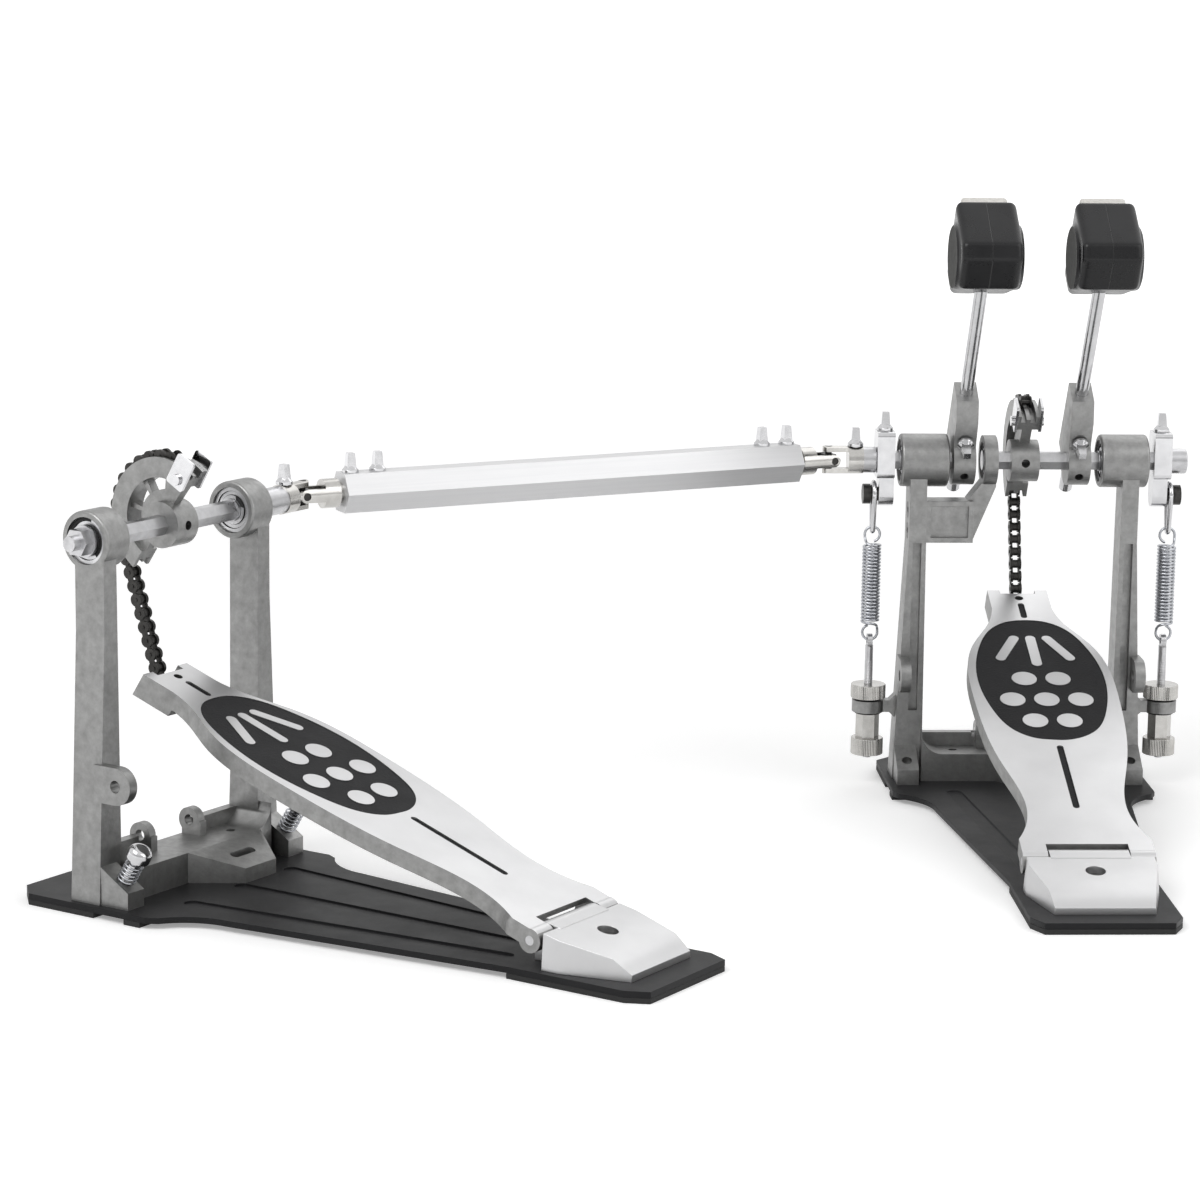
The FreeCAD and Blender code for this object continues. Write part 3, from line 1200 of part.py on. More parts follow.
def slave_axle():
    """The slave's axle with its end bolt, washer and nut."""
    left_ends, right_ends = slave_hub_ends()
    shaft = join(hex_axle(left_ends[0], right_ends[1]), journal(left_ends[0], left_ends[1]),
                 journal(right_ends[0], right_ends[1] + BEARING_RECESS))
    stub = rod(STUB_RADIUS, V(right_ends[1] + BEARING_RECESS, 0, AXLE_HEIGHT),
               V(yoke_back(SLAVE_CROSS_X, -1), 0, AXLE_HEIGHT))
    start = V(left_ends[0], 0, AXLE_HEIGHT)
    washer = rod(WASHER_RADIUS, start - X_AXIS * WASHER_HEIGHT, start)
    nut = hex_bar(NUT_FLAT, start - X_AXIS * (WASHER_HEIGHT + NUT_HEIGHT), start, Y_AXIS)
    bolt = rod(SLAVE_BOLT_RADIUS, start - X_AXIS * (WASHER_HEIGHT + NUT_HEIGHT + SLAVE_BOLT_LENGTH), start)
    return at_slave(join(shaft, stub, washer, nut, bolt))


def beater_turn(shape, x):
    """From the beater's own frame, with its rod upright, to the leaning rest place."""
    return moved(turned(shape, X_AXIS, BEATER_LEAN), V(x, 0, AXLE_HEIGHT))


def beater_hub(x):
    """A clamp block on the axle that holds the beater rod beside it."""
    half = BEATER_HUB_WIDTH * HALF
    low = rod(BEATER_HUB_RADIUS, V(-half, 0, 0), V(half, 0, 0))
    front = BEATER_ROD_OFFSET - BEATER_ROD_RADIUS - BEATER_HUB_WALL
    back = BEATER_ROD_OFFSET + BEATER_ROD_RADIUS + BEATER_HUB_WALL
    shoulder = BEATER_HUB_RADIUS + BEATER_HUB_WALL
    block = prism_x([(back, -BEATER_HUB_RADIUS * HALF), (back, BEATER_HUB_TOP), (front, BEATER_HUB_TOP),
                     (front - BEATER_HUB_RIDGE, BEATER_HUB_TOP - BEATER_HUB_RIDGE_DROP),
                     (-BEATER_HUB_WALL * HALF, shoulder), (-BEATER_HUB_RADIUS * HALF, 0),
                     (0, -BEATER_HUB_RADIUS * HALF)], -half, half)
    rod_bore = rod(BEATER_ROD_RADIUS + RUN_FIT, V(0, BEATER_ROD_OFFSET, -2 * BEATER_HUB_RADIUS),
                   V(0, BEATER_ROD_OFFSET, BEATER_HUB_TOP + OVERRUN))
    body = join(low, block).cut(rod_bore)
    screw_hole = rod(KEY_RADIUS + SEAT_FIT, V(0, -BEATER_HUB_RADIUS, beater_screw_height()),
                     V(0, BEATER_ROD_OFFSET, beater_screw_height()))
    set_hole = rod(SET_SCREW, V(0, -BEATER_HUB_RADIUS - OVERRUN, 0), V(0, 0, 0))
    body = beater_turn(body.cut(screw_hole).cut(set_hole), x)
    return body.cut(axle_bore(x - half, x + half))


def beater_screw_height():
    return BEATER_HUB_RADIUS + BEATER_HUB_WALL * HALF


def beater_screw(x):
    shoulder = BEATER_HUB_RADIUS + BEATER_HUB_WALL
    taper = (BEATER_HUB_RADIUS - BEATER_HUB_WALL) * HALF * beater_screw_height() / shoulder
    face = taper - BEATER_HUB_RADIUS * HALF
    seat = face - KEY_FLANGE_HEIGHT * HALF
    shank = BEATER_ROD_OFFSET - BEATER_ROD_RADIUS - seat - 2 * RUN_FIT
    return beater_turn(key_screw(V(0, seat, beater_screw_height()), Y_AXIS * -1, shank), x)


def beater_rod(x):
    head_low = BEATER_HEAD_REACH - HEAD_HEIGHT * HALF
    length_top = head_low + HEAD_HEIGHT * HEAD_ROD_SHARE
    body = rod(BEATER_ROD_RADIUS, V(0, BEATER_ROD_OFFSET, BEATER_ROD_LOW),
               V(0, BEATER_ROD_OFFSET, length_top))
    return beater_turn(body, x)


def beater_head(x):
    """The plastic head: a block cut back below its front, with round side discs and a bed for the felt."""
    half = HEAD_WIDTH * HALF
    centre_y = BEATER_ROD_OFFSET
    front = centre_y - HEAD_DEPTH * HALF
    back = centre_y + HEAD_DEPTH * HALF
    top = BEATER_HEAD_REACH + HEAD_HEIGHT * HALF
    low = BEATER_HEAD_REACH - HEAD_HEIGHT * HALF
    chin = top - HEAD_BROW - HEAD_FRONT
    block = prism_x([(front, top - HEAD_BROW), (front, chin), (front + chin - low, low), (back, low),
                     (back, top), (front + HEAD_BROW, top)], -half, half)
    rims = [e for e in block.Edges if abs(e.tangentAt(e.FirstParameter).dot(X_AXIS)) < HALF]
    block = block.makeFillet(HEAD_ROUND, rims)
    disc_z = BEATER_HEAD_REACH + HEAD_DISC_RISE
    discs = rod(HEAD_DISC_RADIUS, V(-half - HEAD_DISC, centre_y, disc_z),
                V(half + HEAD_DISC, centre_y, disc_z))
    body = join(block,
                discs.common(box(-HEAD_WIDTH, HEAD_WIDTH, front - HEAD_DEPTH, back, 0,
                                 2 * BEATER_HEAD_REACH)))
    rod_top = low + HEAD_HEIGHT * HEAD_ROD_SHARE
    bore = rod(BEATER_ROD_RADIUS + SEAT_FIT, V(0, BEATER_ROD_OFFSET, low - OVERRUN),
               V(0, BEATER_ROD_OFFSET, rod_top + SEAT_FIT))
    return beater_turn(body.cut(felt_block(FELT_SIT)).cut(bore), x)


def felt_block(grow):
    back = BEATER_ROD_OFFSET + HEAD_DEPTH * HALF
    half_width = FELT_WIDTH * HALF + grow
    half_height = FELT_HEIGHT * HALF + grow
    return box(-half_width, half_width, back - FELT_SINK - grow, back - FELT_SINK + FELT_DEPTH,
               BEATER_HEAD_REACH - half_height, BEATER_HEAD_REACH + half_height)


def beater_felt(x):
    block = felt_block(0)
    outer = block.BoundBox.YMax
    edges = [e for e in block.Edges if e.BoundBox.YMin > outer - FELT_SIT]
    return beater_turn(block.makeFillet(FELT_SINK, edges), x)


def rocker():
    """The right spring rocker with its lobe, pin and grooved bush."""
    x0 = ROCKER_INNER
    x1 = ROCKER_INNER + ROCKER_THICK
    pin_z = AXLE_HEIGHT - ROCKER_PIN_DROP
    block = box(x0, x1, -ROCKER_HALF, ROCKER_HALF, AXLE_HEIGHT - ROCKER_HALF, AXLE_HEIGHT + ROCKER_TOP)
    lobe_end = SPRING_X - GROOVE_LENGTH * HALF - PART_GAP
    lobe = rod(ROCKER_LOBE, V(x0, 0, pin_z), V(lobe_end, 0, pin_z))
    neck = box(x0, lobe_end, -ROCKER_LOBE, ROCKER_LOBE, pin_z, AXLE_HEIGHT)
    edges = [e for e in block.Edges if abs(e.tangentAt(e.FirstParameter).dot(X_AXIS)) > HALF]
    body = join(block.makeFillet(HUB_FILLET * 2, edges), lobe, neck)
    body = body.cut(axle_bore(x0, x1))
    bush_end = lobe_end + PART_GAP + GROOVE_LENGTH + BUSH_LENGTH
    stem = rod(BUSH_GROOVE, V(lobe_end, 0, pin_z), V(bush_end, 0, pin_z))
    rim = rod(BUSH_RADIUS, V(SPRING_X + GROOVE_LENGTH * HALF, 0, pin_z), V(bush_end, 0, pin_z))
    return group(body, join(stem, rim))


def hook():
    """The right teardrop hook from the rocker's bush to the spring's upper loop."""
    pin_z = AXLE_HEIGHT - ROCKER_PIN_DROP
    low_z = upper_loop_height() + LOOP_RADIUS - SPRING_WIRE - HOOK_WIRE - PART_GAP + HOOK_LOW_RADIUS
    span = pin_z - low_z
    lean = math.asin((HOOK_TOP_RADIUS - HOOK_LOW_RADIUS) / span)
    up = V(0, 0, 1)
    side = V(0, math.cos(lean), -math.sin(lean))
    other = V(0, -math.cos(lean), -math.sin(lean))
    top = V(SPRING_X, 0, pin_z)
    low = V(SPRING_X, 0, low_z)
    edges = [
        Part.Arc(top + side * HOOK_TOP_RADIUS, top + up * HOOK_TOP_RADIUS,
                 top + other * HOOK_TOP_RADIUS).toShape(),
        Part.LineSegment(top + other * HOOK_TOP_RADIUS, low + other * HOOK_LOW_RADIUS).toShape(),
        Part.Arc(low + other * HOOK_LOW_RADIUS, low - up * HOOK_LOW_RADIUS,
                 low + side * HOOK_LOW_RADIUS).toShape(),
        Part.LineSegment(low + side * HOOK_LOW_RADIUS, top + side * HOOK_TOP_RADIUS).toShape(),
    ]
    path = Part.Wire(edges)
    heading = V(0, math.sin(lean), math.cos(lean))
    section = Part.Wire([Part.makeCircle(HOOK_WIRE, top + side * HOOK_TOP_RADIUS, heading)])
    return path.makePipeShell([section], True, False)


def upper_loop_height():
    return SPRING_HIGH + LOOP_RISE


def lower_loop_height():
    return SPRING_LOW - LOOP_RISE


def loop_stations(centre_z, up):
    """Stations of an end loop, which stands in the plane of x and z, going away from the coil."""
    stations = []
    steps = 4
    for k in range(1, steps):
        angle = math.radians(LOOP_TURN) * k / (steps - 1)
        point = V(LOOP_RADIUS * math.cos(angle), 0, centre_z + up * LOOP_RADIUS * math.sin(angle))
        stations.append((point, V(-math.sin(angle), 0, up * math.cos(angle))))
    return stations


def spring():
    """The right tension spring: lower loop, close coil and upper loop in one wire."""
    coil = coil_stations(SPRING_RADIUS, SPRING_LOW, SPRING_HIGH, SPRING_TURNS, -90)
    upper = [(V(LOOP_RADIUS, 0, upper_loop_height()), V(0, 0, 1))] + loop_stations(upper_loop_height(), 1)
    lower = [(V(-LOOP_RADIUS, 0, lower_loop_height()), V(0, 0, -1))]
    lower += [(V(-p.x, p.y, p.z), V(-t.x, t.y, t.z)) for p, t in loop_stations(lower_loop_height(), -1)]
    start = [(p, t * -1) for p, t in reversed(lower)]
    solid, path = wire_tube(start + coil + upper, SPRING_WIRE)
    print("spring: least gap to itself", round(least_gap(path, SPRING_WIRE, SPRING_RADIUS * 4), 3))
    return moved(solid, V(SPRING_X, 0, 0))


def spur_spring(side):
    seat = spur_seat(side)
    base = SPUR_SPRING_WIRE * HALF
    stations = coil_stations(SPUR_SPRING_RADIUS, base, SPUR_SPRING_RISE, SPUR_SPRING_TURNS, 0)
    solid, path = wire_tube(stations, SPUR_SPRING_WIRE * HALF)
    if side > 0:
        print("spur spring: least gap to itself", round(least_gap(path, base, SPUR_SPRING_RADIUS * 4), 3))
    return aimed(solid, seat + spur_axis() * SEAT_FIT, spur_axis())


def spur(side):
    """A spur screw with a domed head and a pointed tip."""
    shank = Part.makeCylinder(SPUR_RADIUS, SPUR_DOWN - SPUR_TIP + SPUR_NECK, V(0, 0, SPUR_TIP - SPUR_DOWN))
    tip = Part.makeCone(SPUR_TIP / 8, SPUR_RADIUS, SPUR_TIP, V(0, 0, -SPUR_DOWN))
    dome = Part.makeCylinder(SPUR_HEAD_RADIUS, SPUR_HEAD_HEIGHT, V(0, 0, SPUR_NECK))
    edges = [e for e in dome.Edges if e.Closed and e.BoundBox.ZMin > SPUR_NECK]
    dome = dome.makeFillet(SPUR_HEAD_HEIGHT * HALF, edges)
    return at_slave(aimed(join(shank, tip, dome), spur_seat(side), spur_axis()))


def eye_rod():
    """The right threaded rod with a flat eye that holds the spring's lower loop."""
    half = EYE_THICK * HALF
    inner = LOOP_RADIUS - SPRING_WIRE
    bend = inner - math.sqrt(inner ** 2 - half ** 2)
    hole_z = lower_loop_height() - inner + bend + PART_GAP - EYE_HOLE
    shank = rod(EYE_ROD, V(SPRING_X, 0, EYE_ROD_LOW), V(SPRING_X, 0, hole_z - EYE_HOLE - SPRING_WIRE))
    disc = rod(EYE_RADIUS, V(SPRING_X - half, 0, hole_z), V(SPRING_X + half, 0, hole_z))
    neck = Part.makeCone(EYE_ROD, half, EYE_RADIUS,
                         V(SPRING_X, 0, hole_z - EYE_HOLE - SPRING_WIRE - EYE_RADIUS))
    hole = rod(EYE_HOLE, V(SPRING_X - EYE_THICK, 0, hole_z), V(SPRING_X + EYE_THICK, 0, hole_z))
    return join(shank, disc, neck).cut(hole)


def tension_nuts():
    """The right spring's upper thumb nut and its lower lock nut."""
    at = V(SPRING_X, 0, 0)
    bore = rod(EYE_ROD + RUN_FIT, V(0, 0, 0), V(0, 0, SPRING_LOW))
    upper_low = RING_HIGH + NUT_WASHER
    upper = knurled(NUT_RADIUS, upper_low, upper_low + NUT_THICK, KNURL_TEETH)
    lock_high = RING_LOW - NUT_WASHER
    lock = hex_bar(LOCK_FLAT, V(0, 0, lock_high - LOCK_HEIGHT), V(0, 0, lock_high), X_AXIS)
    grip_high = lock_high - LOCK_HEIGHT
    grip = knurled(LOCK_NUT_RADIUS, grip_high - LOCK_NUT_HEIGHT, grip_high, KNURL_TEETH)
    return moved(group(upper.cut(bore), join(lock, grip).cut(bore)), at)


def nut_washers():
    washers = []
    for low in (RING_HIGH, RING_LOW - NUT_WASHER):
        washers.append(ring(NUT_WASHER_RADIUS, RING_BORE, V(SPRING_X, 0, low + SEAT_FIT * HALF),
                            V(SPRING_X, 0, low + NUT_WASHER - SEAT_FIT * HALF)))
    return group(*washers)


def rocker_screw():
    middle = ROCKER_INNER + ROCKER_THICK * HALF
    top = AXLE_HEIGHT + ROCKER_TOP
    return key_screw(V(middle, 0, top), Z_AXIS, ROCKER_TOP - HEX * HALF / math.cos(math.pi / 6) - PART_GAP)


def rocker_with_screw_hole():
    middle = ROCKER_INNER + ROCKER_THICK * HALF
    hole = rod(KEY_RADIUS + SEAT_FIT, V(middle, 0, AXLE_HEIGHT),
               V(middle, 0, AXLE_HEIGHT + ROCKER_TOP + OVERRUN))
    solids = rocker().Solids
    return group(*[solid.cut(hole) for solid in solids])


def yoke_back(cross_x, side):
    """Where a yoke's shank starts, on the axle's side of the cross."""
    return cross_x + side * (YOKE_BASE + YOKE_SHANK)


def fork(arm_side):
    """A yoke made along x, its cross at the origin and its shank towards +x, arms at +-z or +-y."""
    shank = rod(YOKE_RADIUS, V(YOKE_BASE, 0, 0), V(YOKE_BASE + YOKE_SHANK, 0, 0))
    reach = V(0, 0, YOKE_RADIUS) if arm_side == "z" else V(0, YOKE_RADIUS, 0)
    inner = reach * (YOKE_GAP_HALF / YOKE_RADIUS)
    bar = rod(YOKE_RADIUS, V(-YOKE_ARM_HALF, 0, 0), V(YOKE_BASE + OVERRUN, 0, 0))
    body = shank
    for side in (-1, 1):
        eye = rod(YOKE_ARM_HALF, inner * side, reach * side)
        low = inner * side
        high = reach * side
        if arm_side == "z":
            arm = box(0, YOKE_BASE + OVERRUN, -YOKE_ARM_HALF, YOKE_ARM_HALF, min(low.z, high.z),
                      max(low.z, high.z))
        else:
            arm = box(0, YOKE_BASE + OVERRUN, min(low.y, high.y), max(low.y, high.y), -YOKE_ARM_HALF,
                      YOKE_ARM_HALF)
        body = join(body, join(eye, arm).common(bar))
    pins = rod(CROSS_PIN + CROSS_PIN_FIT, reach * -2, reach * 2)
    return body.cut(pins)


def cross():
    """The universal joint's cross at the origin, one pin pair along z and one along y."""
    block = box(-CROSS_BLOCK, CROSS_BLOCK, -CROSS_BLOCK, CROSS_BLOCK, -CROSS_BLOCK, CROSS_BLOCK)
    upright = rod(CROSS_PIN, V(0, 0, -CROSS_PIN_REACH), V(0, 0, CROSS_PIN_REACH))
    level = rod(CROSS_PIN, V(0, -CROSS_PIN_REACH, 0), V(0, CROSS_PIN_REACH, 0))
    return join(block, upright, level)


def slave_cross_point():
    turn = math.radians(SLAVE_TURN)
    return V(SLAVE_X + SLAVE_CROSS_X * math.cos(turn), SLAVE_Y + SLAVE_CROSS_X * math.sin(turn), AXLE_HEIGHT)


def main_cross_point():
    return V(MAIN_CROSS_X, 0, AXLE_HEIGHT)


def shaft_run():
    """Length and plan angle of the drive shaft between its crosses."""
    run = main_cross_point() - slave_cross_point()
    return run.Length, math.degrees(math.atan2(run.y, run.x))


def at_shaft(shape):
    """From the shaft's own frame, along x from the slave's cross."""
    return moved(turned(shape, Z_AXIS, shaft_run()[1]), slave_cross_point())


def axle_yoke(cross_x, side):
    """A yoke on an axle with upright cross pins and a seat for its key screw."""
    body = fork("z")
    middle = YOKE_BASE + YOKE_SHANK * HALF
    body = body.cut(rod(KEY_RADIUS + SEAT_FIT, V(middle, 0, 0), V(middle, 0, YOKE_RADIUS + OVERRUN)))
    if side < 0:
        body = turned(body, Z_AXIS, 180)
    return moved(body, V(cross_x, 0, AXLE_HEIGHT))


def yoke_screw(cross_x, side):
    middle = cross_x + side * (YOKE_BASE + YOKE_SHANK * HALF)
    return key_screw(V(middle, 0, AXLE_HEIGHT + YOKE_RADIUS - SEAT_FIT), Z_AXIS, YOKE_RADIUS * HALF)


def shaft_yokes():
    """The two yokes on the drive shaft with the stems that slide into its tube."""
    length = shaft_run()[0]
    body = fork("y")
    stem = rod(STEM_RADIUS, V(YOKE_BASE, 0, 0), V(TUBE_START + STEM_LENGTH, 0, 0))
    slave_end = join(body, stem)
    main_end = moved(turned(slave_end, Z_AXIS, 180), V(length, 0, 0))
    return at_shaft(group(slave_end, main_end))


def tube_screw_places():
    length = shaft_run()[0]
    first = TUBE_START + TUBE_SCREW_FIRST
    near = [first, first + TUBE_SCREW_STEP]
    return near + [length - x for x in reversed(near)]


def shaft_tube():
    length = shaft_run()[0]
    start = V(TUBE_START, 0, 0)
    end = V(length - TUBE_START, 0, 0)
    body = hex_bar(TUBE_FLAT, start, end, Y_AXIS)
    body = body.cut(rod(STEM_RADIUS + SEAT_FIT, start - X_AXIS * OVERRUN, end + X_AXIS * OVERRUN))
    for x in tube_screw_places():
        body = body.cut(rod(KEY_RADIUS + SEAT_FIT, V(x, 0, 0), V(x, 0, TUBE_FLAT)))
    return at_shaft(body)


def shaft_screws():
    top = TUBE_FLAT * HALF
    screws = [key_screw(V(x, 0, top), Z_AXIS, top - STEM_RADIUS - RUN_FIT) for x in tube_screw_places()]
    return at_shaft(group(*screws))


def clamp_jaw():
    """The hoop clamp's jaw: a lever on the ears' pin with a nose over the hoop and a screw tail."""
    half = JAW_HALF
    low = FLOOR_TOP + HOOP_SPACE
    barrel = rod(JAW_BARREL, V(-half, EAR_HOLE_Y, EAR_HOLE_Z), V(half, EAR_HOLE_Y, EAR_HOLE_Z))
    plate = prism_x([(JAW_FRONT_Y, EAR_HOLE_Z - JAW_THICK * HALF),
                     (EAR_HOLE_Y, EAR_HOLE_Z - JAW_THICK * HALF),
                     (BAR_BACK + JAW_LIP, low + JAW_THICK), (BAR_BACK + JAW_LIP, low), (JAW_BACK_Y, low),
                     (JAW_BACK_Y, low + JAW_THICK), (BAR_BACK + JAW_LIP, EAR_HOLE_Z + JAW_THICK),
                     (EAR_HOLE_Y, EAR_HOLE_Z + JAW_THICK), (JAW_FRONT_Y,
                                                            EAR_HOLE_Z + JAW_THICK * HALF)], -half, half)
    bore = rod(PIVOT_RADIUS + RUN_FIT, V(-2 * half, EAR_HOLE_Y, EAR_HOLE_Z),
               V(2 * half, EAR_HOLE_Y, EAR_HOLE_Z))
    thread = rod(JAW_SCREW_RADIUS + RUN_FIT, V(0, JAW_SCREW_Y, BAR_TOP),
                 V(0, JAW_SCREW_Y, EAR_HOLE_Z + JAW_HALF))
    return join(barrel, plate).cut(bore).cut(thread)


def clamp_screw():
    """The clamp's screw, whose tip stands on the crossbar."""
    low = BAR_TOP + PART_GAP
    top = EAR_HOLE_Z + JAW_THICK
    body = rod(JAW_SCREW_RADIUS, V(0, JAW_SCREW_Y, low), V(0, JAW_SCREW_Y, top + JAW_SCREW_HEAD * HALF))
    head = key_screw(V(0, JAW_SCREW_Y, top + JAW_SCREW_HEAD * HALF), Z_AXIS, JAW_SCREW_HEAD * HALF)
    return join(body, head)


def build():
    """Every node's shape by name."""
    right_rocker = rocker_with_screw_hole()
    right_hook = hook()
    right_spring = spring()
    right_nuts = tension_nuts()
    right_eye = eye_rod()
    board = footboard()
    inlay = tread()
    wedge = heel_plate()
    drive_cam = cam()
    clip = chain_clip()
    washers = nut_washers()
    pads = rubber_pads()
    nodes = {
        "main_base_plate": base_plate(False),
        "slave_base_plate": at_slave(base_plate(True)),
        "rubber_pads": group(pads, at_slave(pads), washers, mirrored(washers)),
        "main_frame": main_frame(),
        "slave_frame": at_slave(slave_frame()),
        "main_heel_plate": wedge,
        "slave_heel_plate": at_slave(wedge),
        "axle_bearings": group(main_bearings(), slave_bearings()),
        "bearing_bracket": bearing_bracket(),
        "frame_screws": frame_screws(),
        "pivot_pins": group(hinge_pin(), at_slave(hinge_pin()), clamp_pin()),
        "spring_eye_rods": group(right_eye, mirrored(right_eye)),
        "spur_springs": at_slave(group(spur_spring(-1), spur_spring(1))),
        "left_spur": spur(-1),
        "right_spur": spur(1),
        "right_axle": right_axle(),
        "main_cam": drive_cam,
        "right_axle_fittings": group(clip, rocker_screw(), beater_screw(BEATER_RIGHT_X)),
        "main_chain_on_cam": chain_held(),
        "main_chain_link_upper": chain_bent_link(1),
        "main_chain_link_lower": chain_bent_link(0),
        "main_chain_run": chain_run(),
        "right_beater_hub": beater_hub(BEATER_RIGHT_X),
        "right_spring_rocker": right_rocker,
        "main_footboard": board,
        "main_tread": inlay,
        "right_beater_rod": beater_rod(BEATER_RIGHT_X),
        "right_beater_head": beater_head(BEATER_RIGHT_X),
        "right_beater_felt": beater_felt(BEATER_RIGHT_X),
        "right_spring": right_spring,
        "right_spring_hook": right_hook,
        "right_tension_nuts": right_nuts,
        "left_axle": left_axle(),
        "left_axle_fittings": group(mirrored(rocker_screw()), beater_screw(BEATER_LEFT_X),
                                    yoke_screw(MAIN_CROSS_X, 1)),
        "left_beater_hub": beater_hub(BEATER_LEFT_X),
        "left_spring_rocker": mirrored(right_rocker),
        "main_side_yoke": axle_yoke(MAIN_CROSS_X, 1),
        "left_beater_rod": beater_rod(BEATER_LEFT_X),
        "left_beater_head": beater_head(BEATER_LEFT_X),
        "left_beater_felt": beater_felt(BEATER_LEFT_X),
        "left_spring": mirrored(right_spring),
        "left_spring_hook": mirrored(right_hook),
        "left_tension_nuts": mirrored(right_nuts),
        "main_side_cross": moved(turned(cross(), Z_AXIS, shaft_run()[1]), main_cross_point()),
        "drive_shaft_tube": shaft_tube(),
        "drive_shaft_yokes": shaft_yokes(),
        "drive_shaft_screws": shaft_screws(),
        "slave_side_cross": at_shaft(cross()),
        "slave_axle": slave_axle(),
        "slave_side_yoke": at_slave(axle_yoke(SLAVE_CROSS_X, -1)),
        "slave_cam": at_slave(drive_cam),
        "slave_axle_fittings": at_slave(group(clip, yoke_screw(SLAVE_CROSS_X, -1))),
        "slave_chain_on_cam": at_slave(chain_held()),
        "slave_chain_link_upper": at_slave(chain_bent_link(1)),
        "slave_chain_link_lower": at_slave(chain_bent_link(0)),
        "slave_chain_run": at_slave(chain_run()),
        "slave_footboard": at_slave(board),
        "slave_tread": at_slave(inlay),
        "hoop_clamp_jaw": clamp_jaw(),
        "hoop_clamp_screw": clamp_screw(),
    }
    return nodes


def main():
    os.makedirs("parts", exist_ok=True)
    for name, shape in build().items():
        shape.exportStep("parts/" + name + ".step")
        print(name, len(shape.Solids), round(shape.Volume, 1), shape.isValid())


main()
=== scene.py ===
"""Looks of the double bass drum pedal, laid out as an add-on and run as a script."""

import json
import math

import bpy
from bpy.props import FloatProperty, FloatVectorProperty, IntProperty, PointerProperty
from mathutils import Matrix, Vector

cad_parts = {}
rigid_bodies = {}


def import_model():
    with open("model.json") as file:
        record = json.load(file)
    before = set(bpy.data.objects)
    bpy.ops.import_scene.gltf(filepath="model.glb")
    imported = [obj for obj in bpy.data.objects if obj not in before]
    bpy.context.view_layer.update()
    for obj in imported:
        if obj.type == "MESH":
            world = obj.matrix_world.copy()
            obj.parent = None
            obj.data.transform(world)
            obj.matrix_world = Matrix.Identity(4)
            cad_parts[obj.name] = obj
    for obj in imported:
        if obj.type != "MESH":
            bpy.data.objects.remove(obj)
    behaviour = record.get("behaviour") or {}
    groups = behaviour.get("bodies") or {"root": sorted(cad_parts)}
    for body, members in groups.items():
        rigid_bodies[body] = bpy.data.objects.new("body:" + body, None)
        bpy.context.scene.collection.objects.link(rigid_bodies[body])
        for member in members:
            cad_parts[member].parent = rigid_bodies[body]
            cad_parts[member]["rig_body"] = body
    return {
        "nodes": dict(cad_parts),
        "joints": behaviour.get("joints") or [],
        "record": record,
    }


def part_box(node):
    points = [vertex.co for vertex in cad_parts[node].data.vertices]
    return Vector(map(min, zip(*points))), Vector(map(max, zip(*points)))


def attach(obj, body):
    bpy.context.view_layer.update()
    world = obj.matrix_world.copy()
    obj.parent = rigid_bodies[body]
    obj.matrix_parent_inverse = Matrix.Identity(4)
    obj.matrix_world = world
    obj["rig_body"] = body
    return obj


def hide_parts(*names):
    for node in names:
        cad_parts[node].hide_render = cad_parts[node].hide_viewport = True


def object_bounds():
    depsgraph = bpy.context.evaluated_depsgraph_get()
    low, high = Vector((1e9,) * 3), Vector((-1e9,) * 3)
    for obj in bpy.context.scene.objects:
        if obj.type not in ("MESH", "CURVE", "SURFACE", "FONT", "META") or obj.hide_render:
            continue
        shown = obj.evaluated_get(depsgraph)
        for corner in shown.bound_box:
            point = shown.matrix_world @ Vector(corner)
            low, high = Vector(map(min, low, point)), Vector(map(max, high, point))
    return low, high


bl_info = {
    "name": "Double bass drum pedal",
    "version": (1, 0, 0),
    "blender": (4, 5, 0),
    "location": "View3D > Sidebar > Pedal",
    "description": "Dresses the pedal's solids with cast, plated, rubber and felt finishes",
    "category": "Object",
}

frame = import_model()
cad_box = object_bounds()
slot_of = {part["node"]: part["material_slot"] for part in frame["record"]["subparts"]}
joint_of = {joint["name"]: joint for joint in frame["joints"]}

MM = 0.001
MERGE = 0.002 * MM
FLAT_ANGLE = math.radians(0.6)
SMOOTH_ANGLE = math.radians(32)
THREAD_ANGLE = math.radians(64)
UP = Vector((0.0, 0.0, 1.0))
WHITE = (1.0, 1.0, 1.0, 1.0)

# Least share of a face's normal along the footboard's upward direction
TOP_GUESS_FACING = 0.98
TOP_FACING = 0.99
SLOT_FACING = 0.9
ROUND_FACING = 0.2
ROUND_SHARE = 1.2

# Mesh steps of the modelled pieces
RIDGE_SIDES = 8
WINDING_STEPS = 20
HEAD_SOFTNESS = 0.5
FELT_STEPS = 3
FELT_CUTS = 7
FUZZ_SCALE = 3.0 * MM

# Floor and background: distances in metres, and shares of a direction
FLOOR_ROUGHNESS = 0.9
FLOOR_SPECULAR = 0.1
GLOW_DISTANCES = (0.7, 2.6)
GLOW_STRENGTHS = (0.30, 0.90)
WORLD_LIGHT = 0.45
WALL_RANGE = (-0.8, -0.15)
WALL_LEAST = 0.7
CEILING_RANGE = (0.35, 0.6)

# Name, offset from the middle of the pedal in metres, width and watts of each lamp
LAMPS = (("key_lamp", (-1.2, -1.3, 1.9), 1.6, 30.0),
         ("fill_lamp", (1.6, -0.9, 1.2), 1.6, 12.0),
         ("back_lamp", (0.9, 1.5, 1.6), 1.6, 6.0))

SENSOR_WIDTH = 36.0
CAMERA_PLACE = Vector((-0.3699, -2.2265, 0.5507))
CAMERA_LOOK = Vector((0.05208, 0.97985, -0.19282))
CAMERA_RIGHT = Vector((0.99864, -0.0506, 0.01261))

